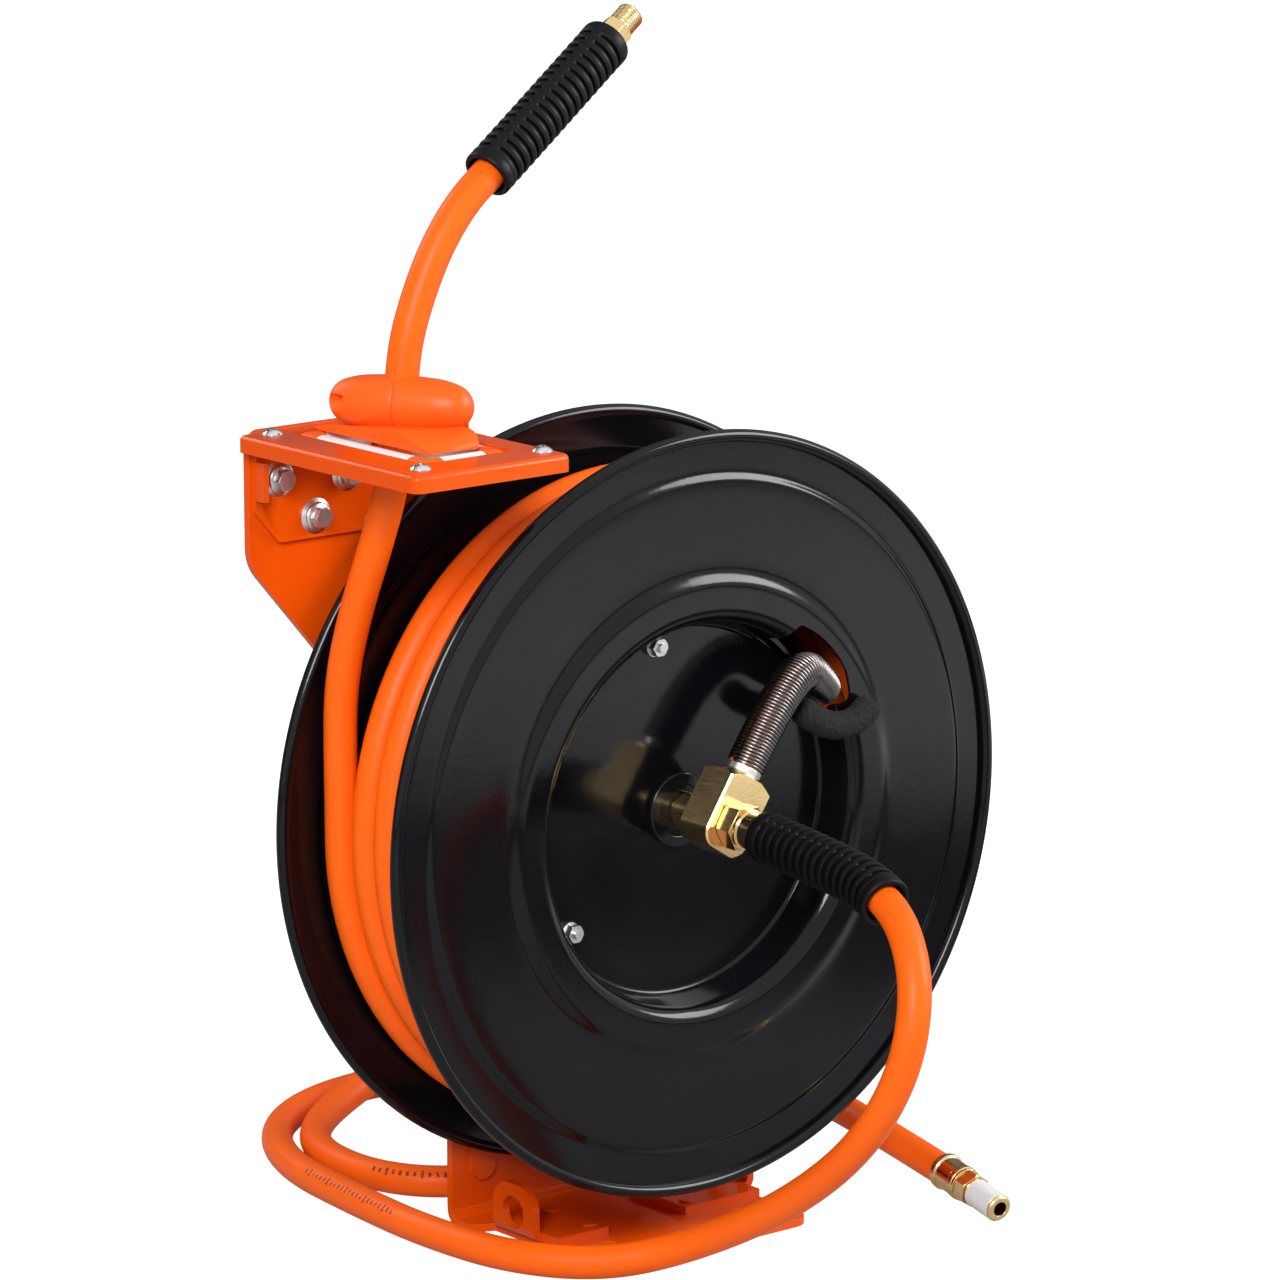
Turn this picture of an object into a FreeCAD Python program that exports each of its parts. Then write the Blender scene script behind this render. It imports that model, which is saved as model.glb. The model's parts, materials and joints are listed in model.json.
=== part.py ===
import FreeCAD, Part
import math
import os

# Spring-rewind hose reel with one bent arm. Millimetres, +Z up, floor at Z = 0.
# The drum turns about an axis along Y, and the open front of the drum faces -Y.

V = FreeCAD.Vector
UP = V(0, 0, 1)
FORWARD = V(0, -1, 0)
BACKWARD = V(0, 1, 0)
RIGHT = V(1, 0, 0)

# Drum: two pressed flanges with deep centre dishes, bolted back to back over a rolled core
axis_height = 211.0
flange_radius = 184.0
rim_bead_radius = 3.0
rim_spacing = 87.0
flange_sheet = 1.5
band_sink = 1.0
groove_radius = 162.0
mid_face_rise = 0.1
ring_outer_radius = 114.0
ring_rise = 3.0
mouth_radius = 93.0
dish_radius = 89.5
dish_depth = 18.75
core_radius = 96.0
core_wall = 2.2
core_end_gap = 7.5

# Hose, wound and free
hose_diameter = 15.7
hose_bore = 9.5
turns_per_layer = 5
turn_pitch = 16.3
winding_radius = 151.5
last_turn_rise = 3.5
inner_winding_radius = 143.0
winding_flange_gap = 0.8
core_fit_gap = 0.3

# Axle, bushes and swivel
axle_radius = 12.5
axle_front = 27.0
axle_flange_radius = 32.0
axle_flange_thickness = 6.0
axle_bolt_circle = 23.0
axle_bolt_radius = 3.0
running_gap = 0.05
bush_wall = 3.5
bush_flange_radius = 18.0
bush_flange_thickness = 3.0
bush_length = 12.0
spindle_neck_radius = 9.5
spindle_radius = 8.0
spindle_bore = 3.5
swivel_half_width = 14.0
swivel_tail = 14.0
swivel_tail_corner = 8.0
swivel_head_corner = 1.5
swivel_back = 46.0
swivel_front = 66.0
swivel_chamfer = 0.8
port_angle = 57.0
port_face_radius = 24.5
port_land_radius = 10.0
port_cone_slope = 1 / 0.6
port_bore = 4.0
port_height = 56.0
inlet_nut_length = 9.65
inlet_collar_radius = 9.8
inlet_ferrule_bare = 11.5
swivel_end_gap = 0.35
seal_section = 1.0

# Guarded hose from the swivel into the drum
guard_radius = 9.3
guard_wire_radius = 0.5
guard_curls = 36
guard_length = 92.0
guard_start_radius = 28.0
guard_ferrule_radius = 8.9
guard_pocket_gap = 1.2

# Rewind spring
tie_circle = 82.0
tie_angles = (100.0, 217.0, 337.0)
tie_bolt_radius = 2.3
tie_spacer_radius = 4.8
case_radius = 74.0
case_sheet = 1.5
case_length = 42.0
spring_strip = 0.8
spring_turns = 11
spring_width = 34.0
arbor_radius = 22.0
part_gap = 0.3

# Ratchet
ratchet_teeth = 12
ratchet_tip_radius = 56.0
ratchet_root_radius = 49.0
ratchet_thickness = 5.0
pawl_pin_radius = 4.0
pawl_pivot_x = 20.0
ratchet_phase = 4.8
pawl_pivot_drop = 66.5

# Arm and foot, one bent sheet
arm_sheet = 4.0
arm_front = 54.0
arm_bend_radius = 9.0
arm_foot_left = -75.0
arm_foot_right = 71.0
foot_front = -52.0
foot_half_width = 63.0
rib_width = 15.0
rib_height = 2.0
rib_bottom = 21.0
rib_top = 150.0
rib_places = (-57.0, 46.0)
ear_outer_face = 69.0
ear_height = 30.0
ear_hole_radius = 8.0
ear_hole_height = 15.7
ear_centre_y = 14.5
ear_half_length = 15.5
slot_spacing_x = 92.0
slot_spacing_y = 50.0
slot_half_width = 4.5
slot_length = 19.0

# Hose guide
guide_top = 402.5
arm_top = guide_top + 0.5
guide_sheet = 3.0
guide_left = -196.0
guide_right = -107.0
guide_front = -80.0
guide_lip = 8.0
roller_radius = 6.0
roller_left_x = -167.0
roller_right_x = -128.0
roller_front_y = -50.0
roller_back_y = 38.0
roller_proud = 0.3
roller_pin_radius = 2.0
roller_bore_gap = 0.08
long_roller_gap = 10.0
short_roller_gap = 7.5
guide_bolt_radius = 4.0
guide_bolt_places = ((-175.0, guide_top - 22.5), (-136.0, guide_top - 24.5), (-154.0, guide_top - 42.5))
guide_slot_run = 9.0
block_screw_radius = 2.5
block_screw_offset = 15.0

# Hose stop
stop_length = 70.0
stop_height = 30.0
stop_width = 35.0
stop_centre = V(-144.5, 1.25, guide_top + 19.5)
stop_turn = -60.0
clamp_gap = 0.05
saddle_thickness = 9.0

# Ribbed sleeves
sleeve_base_radius = 10.4
sleeve_rib_radius = 12.2
sleeve_rib_pitch = 4.82
sleeve_end_land = 3.0
inlet_sleeve_length = 92.0
outlet_sleeve_length = 103.0
ferrule_radius = 9.0
ferrule_length = 22.0
thread_radius = 6.6
thread_length = 12.0
lead_shell_radius = 8.4
lead_shell_length = 20.0
lead_thread_length = 21.5

hose_radius = hose_diameter / 2
half_rim = rim_spacing / 2
band_face = half_rim - band_sink
ring_face = half_rim + ring_rise
hub_face = half_rim - dish_depth
hub_inner = hub_face - flange_sheet
arm_back = arm_front + arm_sheet
roller_height = guide_top + roller_proud - roller_radius
axis_point = V(0, 0, axis_height)


def on_axis(y):
    """Point of the drum's axis at the given Y."""
    return V(0, y, axis_height)


def polar(radius, degrees, y=0.0):
    """Point at a radius and an angle about the drum's axis, seen from the front."""
    turn = math.radians(degrees)
    return V(radius * math.cos(turn), y, axis_height + radius * math.sin(turn))


def unit(vector):
    """The vector at length one."""
    return vector * (1.0 / vector.Length)


def place(shape, base, direction=UP, spin=0.0):
    """Turn a shape built up +Z to a direction and carry its origin to base."""
    copy = shape.copy()
    copy.rotate(V(0, 0, 0), UP, spin)
    turned = FreeCAD.Placement(base, FreeCAD.Rotation(UP, direction))
    copy.Placement = turned.multiply(copy.Placement)
    return copy


def rod(radius, base, direction, length):
    """Round bar from base."""
    return Part.makeCylinder(radius, length, base, direction)


def ring(outer, inner, base, direction, length):
    """Round tube from base."""
    return rod(outer, base, direction, length).cut(rod(inner, base, direction, length))


def eased(share):
    """Smooth step from 0 to 1."""
    share = min(max(share, 0.0), 1.0)
    return share * share * (3 - 2 * share)


def block(x0, x1, y0, y1, z0, z1):
    """Box between two corners."""
    return Part.makeBox(x1 - x0, y1 - y0, z1 - z0, V(x0, y0, z0))


def hexagon(across_flats, base, direction, length, spin=0.0):
    """Six-sided bar from base, with its ends' corners turned off."""
    corner = across_flats / math.sqrt(3)
    points = []
    for k in range(7):
        turn = math.radians(60 * k)
        points.append(V(corner * math.cos(turn), corner * math.sin(turn), 0))
    prism = Part.Face(Part.makePolygon(points)).extrude(V(0, 0, length))
    cut = corner - across_flats / 2 + 0.15
    turned = Part.makeCylinder(corner + 0.01, length)
    turned = turned.makeChamfer(cut * 0.55, [turned.Edges[0], turned.Edges[2]])
    return place(prism.common(turned), base, direction, spin)


def rounded_edges(points, radii, closed=False):
    """Straight edges through the points with a tangent arc of each point's radius."""
    count = len(points)
    starts, ends, arcs = [], [], []
    for k in range(count):
        here = points[k]
        if radii[k] <= 0 or (not closed and k in (0, count - 1)):
            starts.append(here)
            ends.append(here)
            arcs.append(None)
            continue
        arriving = unit(here - points[k - 1])
        leaving = unit(points[(k + 1) % count] - here)
        half_turn = arriving.getAngle(leaving) / 2
        reach = radii[k] * math.tan(half_turn)
        inward = unit(leaving - arriving)
        start = here - arriving * reach
        end = here + leaving * reach
        middle = here + inward * (radii[k] / math.cos(half_turn) - radii[k])
        starts.append(start)
        ends.append(end)
        arcs.append(Part.Arc(start, middle, end).toShape())
    edges = []
    for k in range(count):
        if arcs[k] is not None:
            edges.append(arcs[k])
        if k < count - 1 or closed:
            following = (k + 1) % count
            if (starts[following] - ends[k]).Length > 1e-6:
                edges.append(Part.LineSegment(ends[k], starts[following]).toShape())
    return edges


def outline_face(points, radii):
    """Flat face inside a closed outline with rounded corners."""
    return Part.Face(Part.Wire(rounded_edges(points, radii, closed=True)))


def plate_z(corners, radii, z0, z1):
    """Plate lying flat, from (x, y) corners."""
    return outline_face([V(x, y, z0) for x, y in corners], radii).extrude(V(0, 0, z1 - z0))


def plate_y(corners, radii, y0, y1):
    """Upright plate across Y, from (x, z) corners."""
    return outline_face([V(x, y0, z) for x, z in corners], radii).extrude(V(0, y1 - y0, 0))


def plate_x(corners, radii, x0, x1):
    """Upright plate across X, from (y, z) corners."""
    return outline_face([V(x0, y, z) for y, z in corners], radii).extrude(V(x1 - x0, 0, 0))


def sheet_corners(corners, radii, thickness):
    """Outline of a bent sheet: the given face, and its other face a thickness to the right."""
    count = len(corners)
    ways = []
    for k in range(count - 1):
        step = V(corners[k + 1][0] - corners[k][0], corners[k + 1][1] - corners[k][1], 0)
        ways.append(unit(step))
    far_corners, far_radii = [], []
    for k in range(count):
        before = ways[max(k - 1, 0)]
        after = ways[min(k, count - 2)]
        right_before = V(before.y, -before.x, 0)
        right_after = V(after.y, -after.x, 0)
        shift = (right_before + right_after) * (thickness / (1 + right_before.dot(right_after)))
        far_corners.append((corners[k][0] + shift.x, corners[k][1] + shift.y))
        left_turn = before.cross(after).z > 0
        far_radii.append(0 if radii[k] == 0 else radii[k] + (thickness if left_turn else -thickness))
    return list(corners) + far_corners[::-1], list(radii) + far_radii[::-1]


def turned(corners, radii):
    """Solid of revolution about the drum's axis, from (radius, y) corners."""
    face = outline_face([V(r, y, axis_height) for r, y in corners], radii)
    return face.revolve(axis_point, V(0, 1, 0), 360)


def capsule(width, x, z0, z1, y0, y1):
    """Long hole or rib with round ends, upright, across Y."""
    half = width / 2
    corners = [(x - half, z0), (x + half, z0), (x + half, z1), (x - half, z1)]
    return plate_y(corners, [half - 0.01] * 4, y0, y1)


def route_edges(points, name):
    """Straight runs joined by tangent arcs, each as large as its two runs allow."""
    radii = [0.0] * len(points)
    for k in range(1, len(points) - 1):
        arriving = points[k] - points[k - 1]
        leaving = points[k + 1] - points[k]
        shorter = min(arriving.Length, leaving.Length)
        radii[k] = 0.45 * shorter / math.tan(arriving.getAngle(leaving) / 2)
    edges = rounded_edges(points, radii)
    if name:
        listed = ", ".join("%.0f" % r for r in radii[1:-1])
        length = sum(e.Length for e in edges)
        print("%s: length %.0f, arc radii %s" % (name, length, listed))
    return edges


def sweep(edges, start, direction, radius):
    """Round solid swept along a tangent path."""
    circle = Part.Wire([Part.makeCircle(radius, start, direction)])
    return Part.Wire(edges).makePipeShell([circle], True, False)


def hose(points, name):
    """Hose with its bore along a route."""
    edges = route_edges(points, name)
    start = points[0]
    direction = unit(points[1] - points[0])
    outer = sweep(edges, start, direction, hose_radius)
    inner = sweep(edges, start, direction, hose_bore / 2)
    solid = outer.cut(inner)
    expected = sum(e.Length for e in edges) * math.pi * (hose_radius ** 2 - (hose_bore / 2) ** 2)
    print("%s: volume over section times length %.4f" % (name, solid.Volume / expected))
    return solid


def biarc(p0, t0, p1, t1):
    """Two tangent arcs from one point and direction to another."""
    span = p1 - p0
    both = t0 + t1
    spread = 2 * (1 - t0.dot(t1))
    along = 2 * span.dot(both)
    reach = (-along + math.sqrt(along * along + 4 * spread * span.dot(span))) / (2 * spread)
    q0 = p0 + t0 * reach
    q1 = p1 - t1 * reach
    joint = (q0 + q1) * 0.5
    return [tangent_arc(p0, q0, joint), tangent_arc(joint, q1, p1)]


def tangent_arc(start, corner, end):
    """Arc between two points whose tangents meet at the corner."""
    chord_middle = (start + end) * 0.5
    angle = (corner - start).getAngle(end - start)
    share = math.tan(angle / 2) / math.tan(angle)
    return Part.Arc(start, chord_middle + (corner - chord_middle) * share, end).toShape()


def least_self_gap(points, wire_radius, name):
    """Smallest gap between turns, on points at least a third of a turn apart."""
    per_turn = 24
    least = 1e9
    for i in range(0, len(points), 2):
        for j in range(i + per_turn // 3, min(i + 2 * per_turn, len(points))):
            least = min(least, (points[i] - points[j]).Length)
    print("%s: least gap to itself %.2f" % (name, least - 2 * wire_radius))


def coil(curve, turns, wire_radius, name, lead_in=0.0, lead_out=0.0):
    """Round wire wound along curve(t), t in turns, on biarcs, with straight ends."""
    step = 1e-4

    def direction(t):
        return unit(curve(t + step) - curve(t - step))

    knots = int(round(turns * 4))
    edges = []
    start = curve(0)
    if lead_in > 0:
        start = curve(0) - direction(0) * lead_in
        edges.append(Part.LineSegment(start, curve(0)).toShape())
    for k in range(knots):
        t0 = turns * k / knots
        t1 = turns * (k + 1) / knots
        edges += biarc(curve(t0), direction(t0), curve(t1), direction(t1))
    if lead_out > 0:
        end = curve(turns) + direction(turns) * lead_out
        edges.append(Part.LineSegment(curve(turns), end).toShape())
    samples = [curve(k / 24.0) for k in range(int(24 * turns) + 1)]
    least_self_gap(samples, wire_radius, name)
    return sweep(edges, start, direction(0), wire_radius)


def along(edges):
    """Function of length along a route that gives the point there and the way it runs."""
    lengths = [edge.Length for edge in edges]

    def at(length):
        k = 0
        while k < len(edges) - 1 and length > lengths[k]:
            length -= lengths[k]
            k += 1
        low, high = edges[k].ParameterRange
        parameter = low + (high - low) * length / lengths[k]
        return edges[k].valueAt(parameter), unit(edges[k].tangentAt(parameter))

    return at


def ribbed_sleeve(edges, base, tip, mouth):
    """Ribbed rubber sleeve over a hose, from base to tip along its route, its mouth over a ferrule."""
    at = along(edges)
    length = abs(tip - base)
    side = 1 if tip > base else -1
    count = round((length - 2 * sleeve_end_land) / sleeve_rib_pitch)
    pitch = (length - 2 * sleeve_end_land) / count
    stations = [(0.0, sleeve_rib_radius - 0.4), (sleeve_end_land, sleeve_rib_radius - 0.4)]
    for k in range(count):
        start = sleeve_end_land + k * pitch
        stations.append((start + 0.15 * pitch, sleeve_base_radius))
        stations.append((start + 0.35 * pitch, sleeve_base_radius))
        stations.append((start + 0.5 * pitch, sleeve_rib_radius))
        stations.append((start + 0.85 * pitch, sleeve_rib_radius))
    stations.append((length - sleeve_end_land + 0.1, sleeve_rib_radius - 0.2))
    stations.append((length, sleeve_rib_radius - 0.2))
    circles = []
    for z, radius in stations:
        point, way = at(base + side * z)
        circles.append(place(Part.Wire([Part.makeCircle(radius)]), point, way))
    body = Part.makeLoft(circles, True, True)
    first, way = at(0)
    bore = sweep(edges, first, way, hose_radius + 0.15)
    seat, way = at(base)
    return body.cut(bore).cut(rod(ferrule_radius + part_gap, seat, way * side, mouth))


def threaded_end(radius, length, base, direction, pitch=1.5):
    """Male thread as a row of ridges, with a chamfered tip."""
    count = int(length / pitch)
    stations = [(0.0, radius - 0.7)]
    for k in range(count):
        stations.append(((k + 0.3) * pitch, radius - 0.7))
        stations.append(((k + 0.6) * pitch, radius))
        stations.append(((k + 0.95) * pitch, radius - 0.7))
    stations.append((length, radius - 1.0))
    circles = [Part.Wire([Part.makeCircle(r, V(0, 0, z), UP)]) for z, r in stations]
    return place(Part.makeLoft(circles, True, True), base, direction)


def hex_bolt(radius, flats, head, shank, base, direction):
    """Bolt with its head's seat at base, its shank along the direction."""
    bolt = rod(radius, base, direction, shank)
    washer = rod(flats * 0.66, base, direction * -1, 1.6)
    cap = hexagon(flats, base - direction * 1.6, direction * -1, head)
    return bolt.fuse([washer, cap]).removeSplitter()


def hex_nut(radius, flats, height, base, direction):
    """Nut with its bore."""
    return hexagon(flats, base, direction, height).cut(rod(radius + 0.02, base, direction, height))


def pressed_flange(side):
    """Flange with its rim bead, sunk band, raised ring and deep centre dish."""
    mid_face = half_rim + mid_face_rise
    hole = axle_radius + running_gap + bush_wall
    corners = [
        (hole, hub_face),
        (dish_radius, hub_face),
        (mouth_radius, ring_face),
        (ring_outer_radius - 2.5, ring_face),
        (ring_outer_radius + 2.5, mid_face + 0.6),
        (groove_radius - 2, mid_face),
        (groove_radius + 2, band_face),
        (flange_radius - rim_bead_radius, band_face),
    ]
    radii = [0, 2.5, 7.0, 4.0, 5.0, 3.0, 3.5, 0]
    far_side, far_radii = sheet_corners(corners, radii, flange_sheet)
    profile = [(r, side * y) for r, y in far_side]
    sheet = turned(profile, far_radii)
    bead_circle = flange_radius - rim_bead_radius
    bead = Part.makeTorus(bead_circle, rim_bead_radius, on_axis(side * half_rim), BACKWARD)
    holes = [rod(tie_bolt_radius + 0.2, polar(tie_circle, a, -60), BACKWARD, 120) for a in tie_angles]
    return sheet.fuse(bead).cut(holes)


guard_points = [
    polar(guard_start_radius, port_angle, -port_height),
    polar(84.5, port_angle, -port_height),
    V(80.0, -37.0, axis_height + 51.5),
    V(98.0, -25.0, axis_height + 32.0),
    V(108.0, -18.0, axis_height + 10.0),
]


def hose_opening():
    """Cutter for the opening in the front dish's wall, where the guarded hose goes in."""
    spread = (
        (86.0, 60.0),
        (101.0, 55.0),
        (110.0, 40.0),
        (114.0, 24.0),
        (112.0, 20.0),
        (86.0, 22.0),
    )
    corners = []
    for radius, degrees in spread:
        point = polar(radius, degrees)
        corners.append((point.x, point.z))
    return plate_y(corners, [2.0, 6.0, 8.0, 5.0, 4.0, 2.0], -60.0, -hub_face - 0.5)


def hose_pocket():
    """Room for the guarded hose through the core and the inner layers."""
    fat = guard_radius + guard_pocket_gap
    edges = route_edges(guard_points, None)
    return sweep(edges, guard_points[0], unit(guard_points[1] - guard_points[0]), fat)


def drum_parts():
    """Flanges, core, winding, bushes and the bolts that hold them together."""
    opening = hose_opening()
    pocket = hose_pocket()
    nodes = {}
    nodes["front_flange"] = pressed_flange(-1).cut(opening)
    nodes["back_flange"] = pressed_flange(1)

    core_half = ring_face - core_end_gap
    core = ring(core_radius, core_radius - core_wall, on_axis(-core_half), BACKWARD, 2 * core_half)
    nodes["drum_core"] = core.cut(opening).cut(pocket)

    layer_half = band_face - flange_sheet - part_gap
    start = on_axis(-layer_half)
    layers = ring(inner_winding_radius, core_radius + core_fit_gap, start, BACKWARD, 2 * layer_half)
    nodes["inner_winding"] = layers.cut(pocket)

    first_y = -(turns_per_layer - 1) * turn_pitch / 2
    turns = turns_per_layer - 0.75

    def winding(t):
        # Clockwise from the front, from the bottom to the left, where the hose leaves straight up
        lap = math.floor(t + 1e-6)
        lane = lap + eased((t - lap - 0.27) / 0.71)
        rise = last_turn_rise * eased(t - turns + 1)
        return polar(winding_radius + rise, 270 - 360 * t, first_y + turn_pitch * lane)

    nodes["wound_hose"] = coil(winding, turns, hose_radius, "wound_hose", hose_diameter, hose_diameter)

    bush_outer = axle_radius + running_gap + bush_wall
    bush_bore = axle_radius + running_gap
    for name, way in (("front_bush", -1), ("back_bush", 1)):
        outward = V(0, way, 0)
        seat = on_axis(way * hub_face)
        body = rod(bush_outer, on_axis(way * (hub_face - bush_length)), outward, bush_length)
        flange = rod(bush_flange_radius, seat, outward, bush_flange_thickness)
        hole = rod(bush_bore, on_axis(way * (hub_face - bush_length - 1)), outward, bush_length + 10)
        nodes[name] = body.fuse(flange).cut(hole)

    bolts, nuts, spacers = [], [], []
    for angle in tie_angles:
        washer_thickness = 1.0
        nut_height = 4.5
        back_seat = polar(tie_circle, angle, hub_face)
        front_seat = polar(tie_circle, angle, -hub_face)
        grip = 2 * hub_face + washer_thickness + nut_height + 2.0
        bolts.append(hex_bolt(tie_bolt_radius, 8.0, 3.5, grip, back_seat, FORWARD))
        washer = ring(5.0, tie_bolt_radius + 0.05, front_seat, FORWARD, washer_thickness)
        nut_seat = polar(tie_circle, angle, -hub_face - washer_thickness)
        nut = hex_nut(tie_bolt_radius, 8.0, nut_height, nut_seat, FORWARD)
        nuts.append(washer.fuse(nut))
        spacer_base = polar(tie_circle, angle, -hub_inner)
        spacer_length = 2 * hub_inner - case_sheet
        spacers.append(ring(tie_spacer_radius, tie_bolt_radius + 0.2, spacer_base, BACKWARD, spacer_length))
    nodes["tie_bolts"] = Part.makeCompound(bolts)
    nodes["tie_nuts"] = Part.makeCompound(nuts)
    nodes["tie_spacers"] = Part.makeCompound(spacers)
    nodes["opening_trim"] = opening_trim()
    return nodes


def opening_trim():
    """Foam edging pushed over the lower edge of the opening, round its outer corner."""
    trim_radius = 5.5
    front = -ring_face - 1.0
    points = [
        polar(91.5, 21.5, -28.5),
        polar(92.0, 20.0, -42.0),
        polar(99.0, 17.5, front - 4.0),
        polar(112.0, 16.0, front - 3.0),
        polar(119.0, 21.0, front - 2.5),
        polar(117.5, 28.0, front - 2.5),
    ]
    tube = sweep(route_edges(points, None), points[0], unit(points[1] - points[0]), trim_radius)
    near_sheet = pressed_flange(-1).cut(hose_opening())
    core_inner = core_radius - core_wall - part_gap
    core_start = on_axis(-ring_face + core_end_gap - part_gap)
    core_room = ring(core_radius + part_gap, core_inner, core_start, BACKWARD, 60)
    layers_room = ring(inner_winding_radius, core_radius, on_axis(-band_face + flange_sheet), BACKWARD, 60)
    trimmed = tube.cut(near_sheet).cut(hose_pocket()).cut([core_room, layers_room])
    return max(trimmed.Solids, key=lambda solid: solid.Volume)


def rewind_spring_parts():
    """Spring case on the back flange, its cover, the flat spiral spring and its arbor."""
    nodes = {}
    cover_front = hub_inner - case_sheet
    case_front = on_axis(cover_front - case_length)
    shell = ring(case_radius, case_radius - case_sheet, case_front, BACKWARD, case_length)
    face_hole = axle_radius + running_gap + bush_wall + part_gap
    face = ring(case_radius, face_hole, case_front, BACKWARD, case_sheet)
    nodes["spring_case"] = shell.fuse(face).removeSplitter()

    lobe_radius = tie_spacer_radius + 1.5
    lobes = [rod(lobe_radius, polar(tie_circle, a, cover_front), BACKWARD, case_sheet) for a in tie_angles]
    cover = rod(case_radius + 2, on_axis(cover_front), BACKWARD, case_sheet).fuse(lobes)
    hole_radius = tie_bolt_radius + 0.2
    holes = [rod(hole_radius, polar(tie_circle, a, cover_front - 1), BACKWARD, 5) for a in tie_angles]
    holes.append(rod(axle_radius + running_gap + bush_wall, on_axis(cover_front - 1), BACKWARD, 5))
    nodes["spring_cover"] = cover.cut(holes).common(rod(dish_radius - 2.5, on_axis(0), BACKWARD, 50))

    inner_radius = arbor_radius + part_gap
    outer_radius = case_radius - case_sheet - part_gap
    pitch = (outer_radius - spring_strip - inner_radius) / spring_turns
    inner_edge, outer_edge = [], []
    for k in range(2 * spring_turns):
        side = 1 if k % 2 == 0 else -1
        centre_x = side * pitch / 4
        radius = inner_radius + (k + 0.5) * pitch / 2
        for target, r in ((inner_edge, radius), (outer_edge, radius + spring_strip)):
            begin = V(centre_x - side * r, 0, axis_height)
            middle = V(centre_x, 0, axis_height + side * r)
            finish = V(centre_x + side * r, 0, axis_height)
            target.append(Part.Arc(begin, middle, finish).toShape())
    inner_wire = Part.Wire(inner_edge)
    outer_wire = Part.Wire(outer_edge)
    first = Part.LineSegment(inner_edge[0].Vertexes[0].Point, outer_edge[0].Vertexes[0].Point).toShape()
    last = Part.LineSegment(inner_edge[-1].Vertexes[-1].Point, outer_edge[-1].Vertexes[-1].Point).toShape()
    strip = Part.Face(Part.Wire(Part.__sortEdges__(inner_wire.Edges + [last] + outer_wire.Edges + [first])))
    middle_y = cover_front - case_length / 2
    strip.translate(V(0, middle_y - spring_width / 2, 0))
    nodes["power_spring"] = strip.extrude(V(0, spring_width, 0))

    arbor_half = spring_width / 2
    arbor_start = on_axis(middle_y - arbor_half)
    arbor = ring(arbor_radius, axle_radius, arbor_start, BACKWARD, 2 * arbor_half)
    bush_room = axle_radius + running_gap + bush_wall + part_gap
    back_bush_end = hub_face - bush_length - part_gap
    front_bush_end = -(hub_face - bush_length - part_gap)
    arbor = arbor.cut(rod(bush_room, on_axis(back_bush_end), BACKWARD, 40))
    nodes["spring_arbor"] = arbor.cut(rod(bush_room, on_axis(front_bush_end), FORWARD, 40))
    return nodes


def ratchet_parts():
    """Ratchet wheel on the drum, and the pawl with its pin and spring on the arm."""
    nodes = {}
    start_y = hub_face + bush_flange_thickness
    corners = []
    for k in range(ratchet_teeth):
        angle = ratchet_phase + 360.0 * k / ratchet_teeth
        slope = polar(ratchet_root_radius + 0.6, angle)
        tip = polar(ratchet_tip_radius, angle + 20)
        root = polar(ratchet_root_radius, angle + 22)
        corners += [(slope.x, slope.z), (tip.x, tip.z), (root.x, root.z)]
    wheel = plate_y(corners, [0.0] * len(corners), start_y, start_y + ratchet_thickness)
    spigot = rod(axle_flange_radius + 8, on_axis(hub_face), BACKWARD, bush_flange_thickness)
    hole = rod(axle_flange_radius + 2, on_axis(0), BACKWARD, 60)
    nodes["ratchet_wheel"] = wheel.fuse(spigot).cut(hole)

    screws = []
    for angle in (45.0, 165.0, 285.0):
        seat = polar(axle_flange_radius + 12, angle, start_y + ratchet_thickness)
        screws.append(rod(3.2, seat, BACKWARD, 2.2))
    nodes["ratchet_screws"] = Part.makeCompound(screws)

    pivot_height = axis_height - pawl_pivot_drop
    pawl_y = start_y + 0.5
    pawl_thickness = ratchet_thickness - 1.0
    pivot = V(pawl_pivot_x, pawl_y, pivot_height)
    pin = rod(pawl_pin_radius, V(pawl_pivot_x, pawl_y - 2.5, pivot_height), BACKWARD, arm_back - pawl_y + 2.5)
    pin_head = rod(pawl_pin_radius + 2.5, V(pawl_pivot_x, arm_back, pivot_height), BACKWARD, 3)
    clip = rod(pawl_pin_radius + 1.5, V(pawl_pivot_x, pawl_y - 2.5, pivot_height), BACKWARD, 1.5)
    shoulder_start = pawl_y + pawl_thickness + 0.6
    shoulder_base = V(pawl_pivot_x, shoulder_start, pivot_height)
    shoulder = rod(pawl_pin_radius + 2, shoulder_base, BACKWARD, arm_front - shoulder_start)
    nodes["pawl_pin"] = pin.fuse([pin_head, clip, shoulder]).removeSplitter()

    x, z = pawl_pivot_x, pivot_height
    shape = [
        (x + 7, z - 5.5),
        (x + 7, z + 4),
        (x - 4, z + 8),
        (x - 24, z + 8.5),
        (x - 26, z + 3),
        (x - 6, z - 7),
    ]
    pawl = plate_y(shape, [4.0, 4.0, 6.0, 0.6, 1.0, 5.0], pawl_y, pawl_y + pawl_thickness)
    nodes["pawl"] = pawl.cut(rod(pawl_pin_radius + running_gap, pivot - V(0, 5, 0), BACKWARD, 20))

    spring_radius = pawl_pin_radius + 2 + 1.2
    wire_radius = 0.5

    def torsion(t):
        turn = 2 * math.pi * t
        y = shoulder_start + 1.5 + 1.8 * t
        return V(x + spring_radius * math.cos(turn), y, z + spring_radius * math.sin(turn))

    nodes["pawl_spring"] = coil(torsion, 4, wire_radius, "pawl_spring", 8.0, 8.0)
    return nodes


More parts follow.
